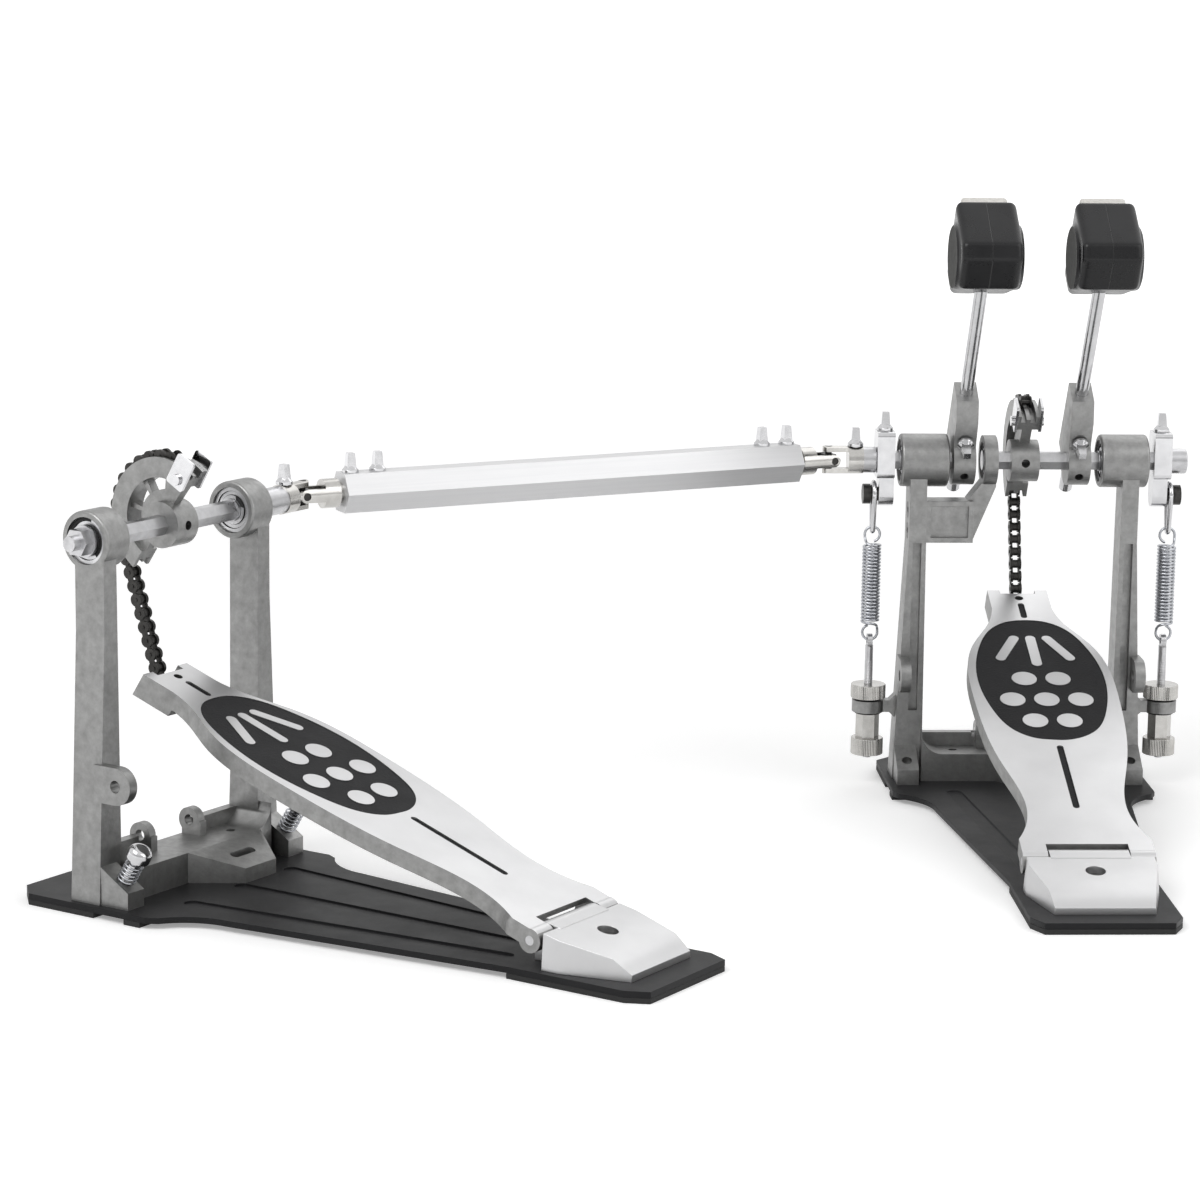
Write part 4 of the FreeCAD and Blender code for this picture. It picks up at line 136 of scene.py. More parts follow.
CASTINGS = ("main_frame", "slave_frame", "bearing_bracket", "main_cam", "slave_cam", "right_beater_hub",
            "left_beater_hub", "hoop_clamp_jaw")
PLATED = ("drive_shaft_tube", "drive_shaft_yokes", "main_side_yoke", "slave_side_yoke", "drive_shaft_screws",
          "right_axle_fittings", "left_axle_fittings", "slave_axle_fittings", "right_tension_nuts",
          "left_tension_nuts", "right_axle", "left_axle", "slave_axle", "left_spur", "right_spur",
          "hoop_clamp_screw", "frame_screws", "main_tread", "slave_tread", "rubber_pads")
PEDALS = ("main", "slave")
SIDES = ("left", "right")


class PedalSizes(bpy.types.PropertyGroup):
    """Small sizes that only the looks use."""

    cast_edge: FloatProperty(name="Cast edge", description="Rounding of the cast pieces' edges",
                             default=0.7 * MM, unit="LENGTH")
    board_edge: FloatProperty(name="Board edge", description="Rounding of the footboards' edges",
                              default=0.8 * MM, unit="LENGTH")
    heel_edge: FloatProperty(name="Heel edge", description="Rounding of the heel plates' edges",
                             default=1.6 * MM, unit="LENGTH")
    heel_steps: IntProperty(name="Heel steps", description="Steps in a heel plate's rounding", default=4, min=1,
                            max=6)
    plate_edge: FloatProperty(name="Plate edge", description="Rounding of the base plates' edges",
                              default=0.8 * MM, unit="LENGTH")
    head_grid: FloatProperty(name="Head grid", description="Grid of the moulded beater heads",
                             default=0.6 * MM, unit="LENGTH")
    head_rounds: IntProperty(name="Head rounds", description="Smoothing rounds of the beater heads",
                             default=40, min=1, max=80)
    bright_edge: FloatProperty(name="Bright edge", description="Rounding of the plated pieces' edges",
                               default=0.35 * MM, unit="LENGTH")
    seal_edge: FloatProperty(name="Seal edge", description="Rounding of the bearings' rings",
                             default=0.15 * MM, unit="LENGTH")
    seal_inner: FloatProperty(name="Seal inner", description="Inner radius of the bearings' seals",
                              default=6.6 * MM, unit="LENGTH")
    seal_outer: FloatProperty(name="Seal outer", description="Outer radius of the bearings' seals",
                              default=10.4 * MM, unit="LENGTH")
    thread_pitch: FloatProperty(name="Thread pitch", description="Pitch of the eye rods' threads",
                                default=1.0 * MM, unit="LENGTH")
    felt_edge: FloatProperty(name="Felt edge", description="Rounding of the felts' edges",
                             default=2.2 * MM, unit="LENGTH")
    felt_fuzz: FloatProperty(name="Felt fuzz", description="Unevenness of the felts' surface",
                             default=0.35 * MM, unit="LENGTH")
    edge_steps: IntProperty(name="Edge steps", description="Steps in a rounded edge", default=2, min=1, max=6)


class PedalColours(bpy.types.PropertyGroup):
    """Colours of the finishes."""

    cast_light: FloatVectorProperty(name="Cast light", description="Bright patches of the raw casting",
                                    subtype="COLOR", default=(0.36, 0.36, 0.356))
    cast_dark: FloatVectorProperty(name="Cast dark", description="Dull patches of the raw casting",
                                   subtype="COLOR", default=(0.215, 0.215, 0.212))
    board_light: FloatVectorProperty(name="Board light", description="Satin top of the footboards",
                                     subtype="COLOR", default=(0.60, 0.60, 0.605))
    board_dark: FloatVectorProperty(name="Board dark", description="Faint clouds in the satin top",
                                    subtype="COLOR", default=(0.54, 0.54, 0.545))
    coat: FloatVectorProperty(name="Black coat", description="Powder coat of the base plates",
                              subtype="COLOR", default=(0.011, 0.011, 0.012))
    coat_worn: FloatVectorProperty(name="Worn coat", description="Rubbed powder coat",
                                   subtype="COLOR", default=(0.019, 0.019, 0.020))
    rubber: FloatVectorProperty(name="Rubber", description="Rubber pads", subtype="COLOR",
                                default=(0.010, 0.010, 0.010))
    dusty_rubber: FloatVectorProperty(name="Dusty rubber", description="Dull patches of the rubber",
                                      subtype="COLOR", default=(0.024, 0.024, 0.024))
    chrome: FloatVectorProperty(name="Chrome", description="Polished plating", subtype="COLOR",
                                default=(0.64, 0.64, 0.65))
    chrome_dull: FloatVectorProperty(name="Dull chrome", description="Handled plating", subtype="COLOR",
                                     default=(0.52, 0.52, 0.53))
    nickel: FloatVectorProperty(name="Nickel", description="Nickel plating", subtype="COLOR",
                                default=(0.58, 0.57, 0.55))
    nickel_dull: FloatVectorProperty(name="Dull nickel", description="Handled nickel", subtype="COLOR",
                                     default=(0.46, 0.45, 0.43))
    steel: FloatVectorProperty(name="Steel", description="Ground steel", subtype="COLOR",
                               default=(0.60, 0.60, 0.61))
    steel_dull: FloatVectorProperty(name="Dull steel", description="Oily steel", subtype="COLOR",
                                    default=(0.44, 0.44, 0.45))
    zinc: FloatVectorProperty(name="Zinc", description="Zinc plating", subtype="COLOR",
                              default=(0.50, 0.51, 0.53))
    zinc_dull: FloatVectorProperty(name="Dull zinc", description="Clouded zinc", subtype="COLOR",
                                   default=(0.38, 0.39, 0.42))
    black_oxide: FloatVectorProperty(name="Black oxide", description="Blackened steel", subtype="COLOR",
                                     default=(0.022, 0.021, 0.020))
    oxide_worn: FloatVectorProperty(name="Worn oxide", description="Rubbed blackened steel", subtype="COLOR",
                                    default=(0.060, 0.058, 0.055))
    # The tread colours also darken the footboards' slot floors, as painted shade in the slots
    tread: FloatVectorProperty(name="Tread", description="Grip inlay", subtype="COLOR",
                               default=(0.006, 0.006, 0.007))
    tread_worn: FloatVectorProperty(name="Worn tread", description="Scuffed grip inlay", subtype="COLOR",
                                    default=(0.011, 0.011, 0.012))
    plastic: FloatVectorProperty(name="Plastic", description="Beater heads", subtype="COLOR",
                                 default=(0.008, 0.008, 0.009))
    plastic_dull: FloatVectorProperty(name="Dull plastic", description="Scuffed beater heads", subtype="COLOR",
                                      default=(0.013, 0.013, 0.014))
    disc: FloatVectorProperty(name="Disc", description="Side discs of the beater heads", subtype="COLOR",
                              default=(0.11, 0.11, 0.108))
    disc_dull: FloatVectorProperty(name="Dull disc", description="Dusty side discs", subtype="COLOR",
                                   default=(0.15, 0.15, 0.147))
    felt: FloatVectorProperty(name="Felt", description="Pressed felt", subtype="COLOR",
                              default=(0.83, 0.81, 0.77))
    felt_dark: FloatVectorProperty(name="Felt shade", description="Darker fibres", subtype="COLOR",
                                   default=(0.66, 0.64, 0.60))
    tube: FloatVectorProperty(name="Tube", description="Satin tube of the drive shaft", subtype="COLOR",
                              default=(0.70, 0.70, 0.705))
    tube_dull: FloatVectorProperty(name="Dull tube", description="Draw lines on the tube", subtype="COLOR",
                                   default=(0.64, 0.64, 0.65))
    floor: FloatVectorProperty(name="Floor", description="Studio floor", subtype="COLOR",
                               default=(0.90, 0.90, 0.90))


def sizes():
    return bpy.context.scene.pedal_sizes


def colours():
    return bpy.context.scene.pedal_colours


# Node groups that several finishes share

def new_group(name, inputs, outputs):
    """A shader node group with float inputs and outputs, and its two end nodes."""
    group = bpy.data.node_groups.new(name, "ShaderNodeTree")
    group.interface.new_socket(name="Vector", in_out="INPUT", socket_type="NodeSocketVector")
    for label, default in inputs:
        socket = group.interface.new_socket(name=label, in_out="INPUT", socket_type="NodeSocketFloat")
        socket.default_value = default
    for label in outputs:
        group.interface.new_socket(name=label, in_out="OUTPUT", socket_type="NodeSocketFloat")
    return group, group.nodes.new("NodeGroupInput"), group.nodes.new("NodeGroupOutput")


def clouds_group():
    """Soft patches: a mask from 0 to 1, sharper with more contrast."""
    group, given, result = new_group("soft_patches", (("Scale", 60.0), ("Contrast", 2.0)), ("Mask",))
    noise = group.nodes.new("ShaderNodeTexNoise")
    noise.inputs["Detail"].default_value = 6.0
    noise.inputs["Roughness"].default_value = 0.62
    centred = group.nodes.new("ShaderNodeMath")
    centred.operation = "SUBTRACT"
    centred.inputs[1].default_value = 0.5
    sharper = group.nodes.new("ShaderNodeMath")
    sharper.operation = "MULTIPLY_ADD"
    sharper.use_clamp = True
    sharper.inputs[2].default_value = 0.5
    link = group.links.new
    link(given.outputs["Vector"], noise.inputs["Vector"])
    link(given.outputs["Scale"], noise.inputs["Scale"])
    link(noise.outputs["Fac"], centred.inputs[0])
    link(centred.outputs[0], sharper.inputs[0])
    link(given.outputs["Contrast"], sharper.inputs[1])
    link(sharper.outputs[0], result.inputs["Mask"])
    return group


def grain_group():
    """Fine sandy grain with a few pits, as a height."""
    group, given, result = new_group("fine_grain", (("Scale", 900.0), ("Pits", 0.4)), ("Height",))
    noise = group.nodes.new("ShaderNodeTexNoise")
    noise.inputs["Detail"].default_value = 4.0
    pits = group.nodes.new("ShaderNodeTexVoronoi")
    mix = group.nodes.new("ShaderNodeMix")
    link = group.links.new
    for node in (noise, pits):
        link(given.outputs["Vector"], node.inputs["Vector"])
        link(given.outputs["Scale"], node.inputs["Scale"])
    link(given.outputs["Pits"], mix.inputs["Factor"])
    link(noise.outputs["Fac"], mix.inputs["A"])
    link(pits.outputs["Distance"], mix.inputs["B"])
    link(mix.outputs["Result"], result.inputs["Height"])
    return group


def seam_group():
    """A narrow valley across the width at a given middle, as a height."""
    group, given, result = new_group("seam_line", (("Middle", 0.0), ("Width", 0.0004)), ("Height",))
    split = group.nodes.new("ShaderNodeSeparateXYZ")
    away = group.nodes.new("ShaderNodeMath")
    away.operation = "SUBTRACT"
    size = group.nodes.new("ShaderNodeMath")
    size.operation = "ABSOLUTE"
    share = group.nodes.new("ShaderNodeMath")
    share.operation = "DIVIDE"
    share.use_clamp = True
    link = group.links.new
    link(given.outputs["Vector"], split.inputs[0])
    link(split.outputs["X"], away.inputs[0])
    link(given.outputs["Middle"], away.inputs[1])
    link(away.outputs[0], size.inputs[0])
    link(size.outputs[0], share.inputs[0])
    link(given.outputs["Width"], share.inputs[1])
    link(share.outputs[0], result.inputs["Height"])
    return group


class Finish:
    """A material under construction: a Principled shader and the object's own coordinates."""

    def __init__(self, name, metallic, roughness):
        self.material = bpy.data.materials.new(name)
        self.material.use_nodes = True
        self.nodes = self.material.node_tree.nodes
        self.link = self.material.node_tree.links.new
        self.shader = self.nodes["Principled BSDF"]
        self.shader.inputs["Metallic"].default_value = metallic
        self.shader.inputs["Roughness"].default_value = roughness
        self.place = self.nodes.new("ShaderNodeTexCoord").outputs["Object"]

    def stretched(self, scale, turn=0.0):
        """The coordinates drawn out along an axis and turned about the upright."""
        mapping = self.nodes.new("ShaderNodeMapping")
        mapping.vector_type = "TEXTURE"
        mapping.inputs["Scale"].default_value = scale
        mapping.inputs["Rotation"].default_value = (0.0, 0.0, turn)
        self.link(self.place, mapping.inputs["Vector"])
        return mapping.outputs["Vector"]

    def effect(self, group, place=None, **values):
        node = self.nodes.new("ShaderNodeGroup")
        node.node_tree = bpy.data.node_groups[group]
        self.link(place or self.place, node.inputs["Vector"])
        for name, value in values.items():
            node.inputs[name].default_value = value
        return node.outputs[0]

    def tint(self, mask, low, high):
        """Base colour between two colours by a mask."""
        mix = self.nodes.new("ShaderNodeMix")
        mix.data_type = "RGBA"
        mix.inputs[6].default_value = (*low, 1.0)
        mix.inputs[7].default_value = (*high, 1.0)
        self.link(mask, mix.inputs[0])
        self.link(mix.outputs[2], self.shader.inputs["Base Color"])

    def gloss(self, mask, low, high):
        """Roughness between two values by a mask."""
        spread = self.nodes.new("ShaderNodeMapRange")
        spread.inputs["To Min"].default_value = low
        spread.inputs["To Max"].default_value = high
        self.link(mask, spread.inputs["Value"])
        self.link(spread.outputs["Result"], self.shader.inputs["Roughness"])

    def relief(self, height, strength, depth):
        bump = self.nodes.new("ShaderNodeBump")
        bump.inputs["Strength"].default_value = strength
        bump.inputs["Distance"].default_value = depth
        self.link(height, bump.inputs["Height"])
        for earlier in self.shader.inputs["Normal"].links:
            self.link(earlier.from_socket, bump.inputs["Normal"])
        self.link(bump.outputs["Normal"], self.shader.inputs["Normal"])


def raw_casting():
    """Tumbled raw aluminium casting: cloudy grey with a sandy skin."""
    finish = Finish("raw_casting", metallic=1.0, roughness=0.45)
    mask = finish.effect("soft_patches", Scale=190.0, Contrast=1.5)
    finish.tint(mask, colours().cast_dark, colours().cast_light)
    finish.gloss(mask, low=0.48, high=0.36)
    grain = finish.effect("fine_grain", Scale=700.0, Pits=0.35)
    finish.relief(grain, strength=0.35, depth=0.25 * MM)
    return finish.material


def satin_board():
    """Smooth satin aluminium of the footboards' tops."""
    finish = Finish("satin_board", metallic=1.0, roughness=0.34)
    mask = finish.effect("soft_patches", Scale=30.0, Contrast=1.6)
    finish.tint(mask, colours().board_dark, colours().board_light)
    finish.gloss(mask, low=0.38, high=0.30)
    grain = finish.effect("fine_grain", Scale=1600.0, Pits=0.1)
    finish.relief(grain, strength=0.10, depth=0.1 * MM)
    return finish.material


def black_coat():
    finish = Finish("black_powder_coat", metallic=0.0, roughness=0.46)
    mask = finish.effect("soft_patches", Scale=40.0, Contrast=1.8)
    finish.tint(mask, colours().coat, colours().coat_worn)
    finish.gloss(mask, low=0.40, high=0.54)
    grain = finish.effect("fine_grain", Scale=1100.0, Pits=0.2)
    finish.relief(grain, strength=0.25, depth=0.2 * MM)
    finish.shader.inputs["Specular IOR Level"].default_value = 0.16
    return finish.material


def pad_rubber():
    finish = Finish("pad_rubber", metallic=0.0, roughness=0.78)
    mask = finish.effect("soft_patches", Scale=70.0, Contrast=2.0)
    finish.tint(mask, colours().rubber, colours().dusty_rubber)
    finish.gloss(mask, low=0.70, high=0.88)
    grain = finish.effect("fine_grain", Scale=1300.0, Pits=0.5)
    finish.relief(grain, strength=0.35, depth=0.3 * MM)
    return finish.material


def plated(name, bright, dull, smooth, rough):
    """Plated metal with faint handling marks."""
    finish = Finish(name, metallic=1.0, roughness=smooth)
    mask = finish.effect("soft_patches", Scale=140.0, Contrast=2.0)
    finish.tint(mask, bright, dull)
    finish.gloss(mask, smooth, rough)
    grain = finish.effect("fine_grain", Scale=1500.0, Pits=0.1)
    finish.relief(grain, strength=0.06, depth=0.05 * MM)
    return finish.material


def blackened(name):
    """Oiled black oxide, rubbed brighter in patches."""
    finish = Finish(name, metallic=0.7, roughness=0.34)
    mask = finish.effect("soft_patches", Scale=220.0, Contrast=2.6)
    finish.tint(mask, colours().black_oxide, colours().oxide_worn)
    finish.gloss(mask, low=0.28, high=0.44)
    grain = finish.effect("fine_grain", Scale=1400.0, Pits=0.2)
    finish.relief(grain, strength=0.15, depth=0.1 * MM)
    return finish.material


def grip_inlay_and_painted_slot_shade():
    """Charcoal grip inlay with a leathery grain; also laid on the footboards' slot floors as painted shade."""
    finish = Finish("grip_inlay_and_painted_slot_shade", metallic=0.0, roughness=0.6)
    mask = finish.effect("soft_patches", Scale=50.0, Contrast=1.8)
    finish.tint(mask, colours().tread, colours().tread_worn)
    finish.gloss(mask, low=0.52, high=0.68)
    grain = finish.effect("fine_grain", Scale=1000.0, Pits=0.7)
    finish.relief(grain, strength=0.5, depth=0.3 * MM)
    finish.shader.inputs["Specular IOR Level"].default_value = 0.18
    return finish.material


def head_plastic(side):
    """Moulded black plastic with a soft shine and a mould seam down its middle."""
    low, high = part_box(side + "_beater_head")
    finish = Finish(side + "_head_plastic", metallic=0.0, roughness=0.26)
    mask = finish.effect("soft_patches", Scale=60.0, Contrast=1.8)
    finish.tint(mask, colours().plastic, colours().plastic_dull)
    finish.gloss(mask, low=0.22, high=0.34)
    grain = finish.effect("fine_grain", Scale=900.0, Pits=0.2)
    finish.relief(grain, strength=0.12, depth=0.1 * MM)
    seam = finish.effect("seam_line", Middle=(low.x + high.x) / 2, Width=0.35 * MM)
    finish.relief(seam, strength=1.0, depth=0.25 * MM)
    finish.shader.inputs["Specular IOR Level"].default_value = 0.3
    return finish.material


def disc_rubber():
    """Dull grey rubber of the beater heads' side discs."""
    finish = Finish("disc_rubber", metallic=0.0, roughness=0.85)
    mask = finish.effect("soft_patches", Scale=240.0, Contrast=1.6)
    finish.tint(mask, colours().disc, colours().disc_dull)
    finish.gloss(mask, low=0.78, high=0.92)
    grain = finish.effect("fine_grain", Scale=1300.0, Pits=0.3)
    finish.relief(grain, strength=0.3, depth=0.2 * MM)
    finish.shader.inputs["Specular IOR Level"].default_value = 0.0
    return finish.material


def pressed_felt():
    """Pressed wool felt: matted fibres, no shine."""
    finish = Finish("pressed_felt", metallic=0.0, roughness=0.95)
    mask = finish.effect("soft_patches", place=finish.stretched((1.0, 1.0, 0.35)), Scale=520.0, Contrast=2.6)
    finish.tint(mask, colours().felt_dark, colours().felt)
    finish.relief(mask, strength=0.6, depth=0.5 * MM)
    finish.shader.inputs["Sheen Weight"].default_value = 0.4
    finish.shader.inputs["Sheen Roughness"].default_value = 0.6
    return finish.material


def drawn_tube():
    """Satin drawn tube with faint lines along its length."""
    finish = Finish("drawn_tube", metallic=0.35, roughness=0.3)
    axis = Vector(joint_of["drive_shaft_turn"]["axis"])
    turn = math.atan2(axis.y, axis.x)
    lines = finish.stretched((60.0, 1.0, 1.0), turn)
    mask = finish.effect("soft_patches", place=lines, Scale=700.0, Contrast=1.6)
    finish.tint(mask, colours().tube_dull, colours().tube)
    finish.gloss(mask, low=0.36, high=0.28)
    finish.relief(mask, strength=0.08, depth=0.1 * MM)
    return finish.material


def make_finishes():
    """Every finish by the record's material slot."""
    clouds_group()
    grain_group()
    seam_group()
    paint = colours()
    return {
        "black_plate": black_coat(),
        "rubber": pad_rubber(),
        "cast_metal": raw_casting(),
        "bearing_steel": plated("ground_steel", paint.steel, paint.steel_dull, smooth=0.24, rough=0.4),
        "black_screws": blackened("black_screw_steel"),
        "zinc_spring": plated("zinc_plate", paint.zinc, paint.zinc_dull, smooth=0.2, rough=0.34),
        "chrome": plated("chrome_plate", paint.chrome, paint.chrome_dull, smooth=0.08, rough=0.18),
        "nickel": plated("nickel_plate", paint.nickel, paint.nickel_dull, smooth=0.16, rough=0.28),
        "black_chain": blackened("black_chain_steel"),
        "silver_board": satin_board(),
        "tread": grip_inlay_and_painted_slot_shade(),
        "black_plastic": head_plastic("right"),
        "left_plastic": head_plastic("left"),
        "disc": disc_rubber(),
        "felt": pressed_felt(),
        "silver_tube": drawn_tube(),
    }


finishes = {}


# Modelling helpers

def paint_object(piece, *materials):
    piece.data.materials.clear()
    for material in materials:
        piece.data.materials.append(material)


def make_active(piece):
    bpy.ops.object.select_all(action="DESELECT")
    piece.select_set(True)
    bpy.context.view_layer.objects.active = piece


def eased_copy(node, name, width, steps):
    """A copy of a node with its triangles merged to flat faces and its edges rounded, in the node's place."""
    piece = bpy.data.objects.new(name, frame["nodes"][node].data.copy())
    bpy.context.scene.collection.objects.link(piece)
    make_active(piece)
    bpy.ops.object.mode_set(mode="EDIT")
    bpy.ops.mesh.select_all(action="SELECT")
    bpy.ops.mesh.remove_doubles(threshold=MERGE)
    bpy.ops.mesh.dissolve_limited(angle_limit=FLAT_ANGLE)
    bpy.ops.object.mode_set(mode="OBJECT")
    bpy.ops.object.modifier_add(type="BEVEL")
    bevel = piece.modifiers[-1]
    bevel.width = width
    bevel.segments = steps
    bevel.limit_method = "ANGLE"
    bevel.angle_limit = SMOOTH_ANGLE
    bevel.use_clamp_overlap = True
    bevel.miter_outer = "MITER_ARC"
    bpy.ops.object.modifier_apply(modifier=bevel.name)
    bpy.ops.object.shade_smooth_by_angle(angle=SMOOTH_ANGLE)
    bpy.ops.object.modifier_add(type="WEIGHTED_NORMAL")
    even = piece.modifiers[-1]
    even.mode = "FACE_AREA"
    even.keep_sharp = True
    bpy.ops.object.modifier_apply(modifier=even.name)
    stand_for(piece, node)
    return piece


def stand_for(piece, node):
    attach(piece, frame["nodes"][node]["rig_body"])
    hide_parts(node)


class PEDAL_OT_finishes(bpy.types.Operator):
    """Make every finish and lay it on the solids"""

    bl_idname = "pedal.finishes"
    bl_label = "Lay finishes"

    def execute(self, context):
        finishes.update(make_finishes())
        for node, piece in frame["nodes"].items():
            paint_object(piece, finishes[slot_of[node]])
        return {"FINISHED"}


class PEDAL_OT_castings(bpy.types.Operator):
    """Round the edges of the cast pieces"""

    bl_idname = "pedal.castings"
    bl_label = "Castings"

    def execute(self, context):
        for node in CASTINGS:
            piece = eased_copy(node, node + "_cast", sizes().cast_edge, sizes().edge_steps)
            paint_object(piece, finishes["cast_metal"])
        return {"FINISHED"}


def board_up(pedal):
    """Upward normal of a footboard's top."""
    hinge = Vector(joint_of[pedal + "_board_turn"]["axis"])
    low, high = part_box(pedal + "_tread")
    pivot = Vector(joint_of[pedal + "_board_turn"]["pos_m"])
    middle = (low + high) / 2 - pivot
    along = middle - hinge * middle.dot(hinge)
    return hinge.cross(along).normalized()


def top_normal(node, guess):
    """The node's own largest flat direction near a guess."""
    total = Vector()
    for face in frame["nodes"][node].data.polygons:
        if face.normal.dot(guess) > TOP_GUESS_FACING:
            total += face.normal * face.area
    return total.normalized()


class PEDAL_OT_footboards(bpy.types.Operator):
    """Round the footboards' edges; satin tops, cast skirts, and slot floors darkened with the grip inlay finish
    as painted shade
    """

    bl_idname = "pedal.footboards"
    bl_label = "Footboards"

    def execute(self, context):
        for pedal in PEDALS:
            node = pedal + "_footboard"
            up = top_normal(node, board_up(pedal))
            piece = eased_copy(node, node + "_satin", sizes().board_edge, sizes().edge_steps)
            paint_object(piece, finishes["cast_metal"], finishes["silver_board"], finishes["tread"])
            top = max(face.center.dot(up) for face in piece.data.polygons if face.normal.dot(up) > TOP_FACING)
            # Faces at the top take the satin finish; lower up-facing faces, the slot floors, take the dark grip
            # inlay finish as painted shade in the slots
            for face in piece.data.polygons:
                drop = top - face.center.dot(up)
                if face.normal.dot(up) > ROUND_FACING and drop < ROUND_SHARE * sizes().board_edge:
                    face.material_index = 1
                elif face.normal.dot(up) > SLOT_FACING:
                    face.material_index = 2
        return {"FINISHED"}


class PEDAL_OT_heel_plates(bpy.types.Operator):
    """Round the heel plates' edges"""

    bl_idname = "pedal.heel_plates"
    bl_label = "Heel plates"

    def execute(self, context):
        for pedal in PEDALS:
            node = pedal + "_heel_plate"
            piece = eased_copy(node, node + "_satin", sizes().heel_edge, sizes().heel_steps)
            paint_object(piece, finishes["silver_board"])
        return {"FINISHED"}


class PEDAL_OT_base_plates(bpy.types.Operator):
    """Round the base plates' edges"""

    bl_idname = "pedal.base_plates"
    bl_label = "Base plates"

    def execute(self, context):
        for pedal in PEDALS:
            node = pedal + "_base_plate"
            piece = eased_copy(node, node + "_coated", sizes().plate_edge, sizes().edge_steps)
            paint_object(piece, finishes["black_plate"])
        return {"FINISHED"}


class PEDAL_OT_plated_pieces(bpy.types.Operator):
    """Round the edges of the plated and inlaid pieces"""

    bl_idname = "pedal.plated_pieces"
    bl_label = "Plated pieces"

    def execute(self, context):
        for node in PLATED:
            piece = eased_copy(node, node + "_eased", sizes().bright_edge, sizes().edge_steps)
            paint_object(piece, finishes[slot_of[node]])
        return {"FINISHED"}


class PEDAL_OT_bearings(bpy.types.Operator):
    """Steel bearing rings with dark seals between them"""

    bl_idname = "pedal.bearings"
    bl_label = "Bearings"

    def execute(self, context):
        piece = eased_copy("axle_bearings", "axle_bearings_sealed", sizes().seal_edge, 1)
        paint_object(piece, finishes["bearing_steel"], finishes["rubber"])
        lines = [(Vector(joint_of[name]["pos_m"]), Vector(joint_of[name]["axis"]).normalized())
                 for name in ("main_axle_turn", "left_axle_turn", "slave_axle_turn")]
        for face in piece.data.polygons:
            spread = min((face.center - place).cross(axis).length for place, axis in lines)
            if sizes().seal_inner < spread < sizes().seal_outer:
                face.material_index = 1
        return {"FINISHED"}


class PEDAL_OT_rockers(bpy.types.Operator):
    """Round the spring rockers' edges; plated bodies with black bushes"""

    bl_idname = "pedal.rockers"
    bl_label = "Spring rockers"

    def execute(self, context):
        for side in SIDES:
            node = side + "_spring_rocker"
            piece = eased_copy(node, node + "_plated", sizes().bright_edge, sizes().edge_steps)
            paint_object(piece, finishes["chrome"], finishes["black_screws"])
            hook_low, hook_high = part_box(side + "_spring_hook")
            inner = min(abs(hook_low.x), abs(hook_high.x))
            for face in piece.data.polygons:
                if abs(face.center.x) > inner and face.center.z < hook_high.z:
                    face.material_index = 1
        return {"FINISHED"}


class PEDAL_OT_rod_threads(bpy.types.Operator):
    """Wind the threads of the spring eye rods"""

    bl_idname = "pedal.rod_threads"
    bl_label = "Rod threads"

    ridge_share: FloatProperty(name="Ridge share", description="Ridge radius as a share of the pitch",
                               default=0.4)
    plain_share: FloatProperty(name="Plain share", description="Plain end in radii of the rod", default=7.0)

    def execute(self, context):
        pitch = sizes().thread_pitch
        rods_low, rods_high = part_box("spring_eye_rods")
        for side in SIDES:
            axis = joint_of[side + "_nuts_turn"]["pos_m"]
            radius = rods_high.x - abs(axis[0])
            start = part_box(side + "_tension_nuts")[1].z - pitch
            end = rods_high.z - self.plain_share * radius
            bpy.ops.object.select_all(action="DESELECT")
            bpy.ops.mesh.primitive_circle_add(vertices=RIDGE_SIDES, radius=self.ridge_share * pitch,
                                              location=(axis[0], axis[1], start),
                                              rotation=(math.pi / 2, 0.0, 0.0))
            piece = context.active_object
            piece.name = side + "_rod_thread"
            bpy.ops.object.transform_apply(location=False, rotation=True, scale=False)
            bpy.ops.object.mode_set(mode="EDIT")
            bpy.ops.mesh.select_all(action="SELECT")
            bpy.ops.transform.translate(value=(radius - self.ridge_share * pitch / 2, 0.0, 0.0))
            bpy.ops.object.mode_set(mode="OBJECT")
            bpy.ops.object.modifier_add(type="SCREW")
            winding = piece.modifiers[-1]
            winding.screw_offset = pitch
            winding.iterations = int((end - start) / pitch)
            winding.steps = WINDING_STEPS
            winding.render_steps = WINDING_STEPS
            bpy.ops.object.modifier_apply(modifier=winding.name)
            bpy.ops.object.transform_apply(location=True, rotation=True, scale=True)
            bpy.ops.object.mode_set(mode="EDIT")
            bpy.ops.mesh.select_all(action="SELECT")
            bpy.ops.mesh.remove_doubles(threshold=MERGE)
            bpy.ops.mesh.fill_holes(sides=0)
            bpy.ops.mesh.select_all(action="SELECT")
            bpy.ops.mesh.normals_make_consistent(inside=False)
            bpy.ops.object.mode_set(mode="OBJECT")
            bpy.ops.object.shade_smooth_by_angle(angle=THREAD_ANGLE)
            paint_object(piece, finishes["bearing_steel"])
            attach(piece, frame["nodes"]["spring_eye_rods"]["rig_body"])
        return {"FINISHED"}


def rod_turn(side):
    """Rotation from an upright rod to the leaning beater rod."""
    lean = Vector(joint_of[side + "_beater_height"]["axis"])
    return UP.rotation_difference(lean).to_matrix().to_4x4()


def upright_box(node, turn):
    """Box of a node in the frame that stands upright with its rod."""
    back = turn.inverted()
    spots = [back @ vertex.co for vertex in frame["nodes"][node].data.vertices]
    low = Vector([min(spot[k] for spot in spots) for k in range(3)])
    high = Vector([max(spot[k] for spot in spots) for k in range(3)])
    return low, high


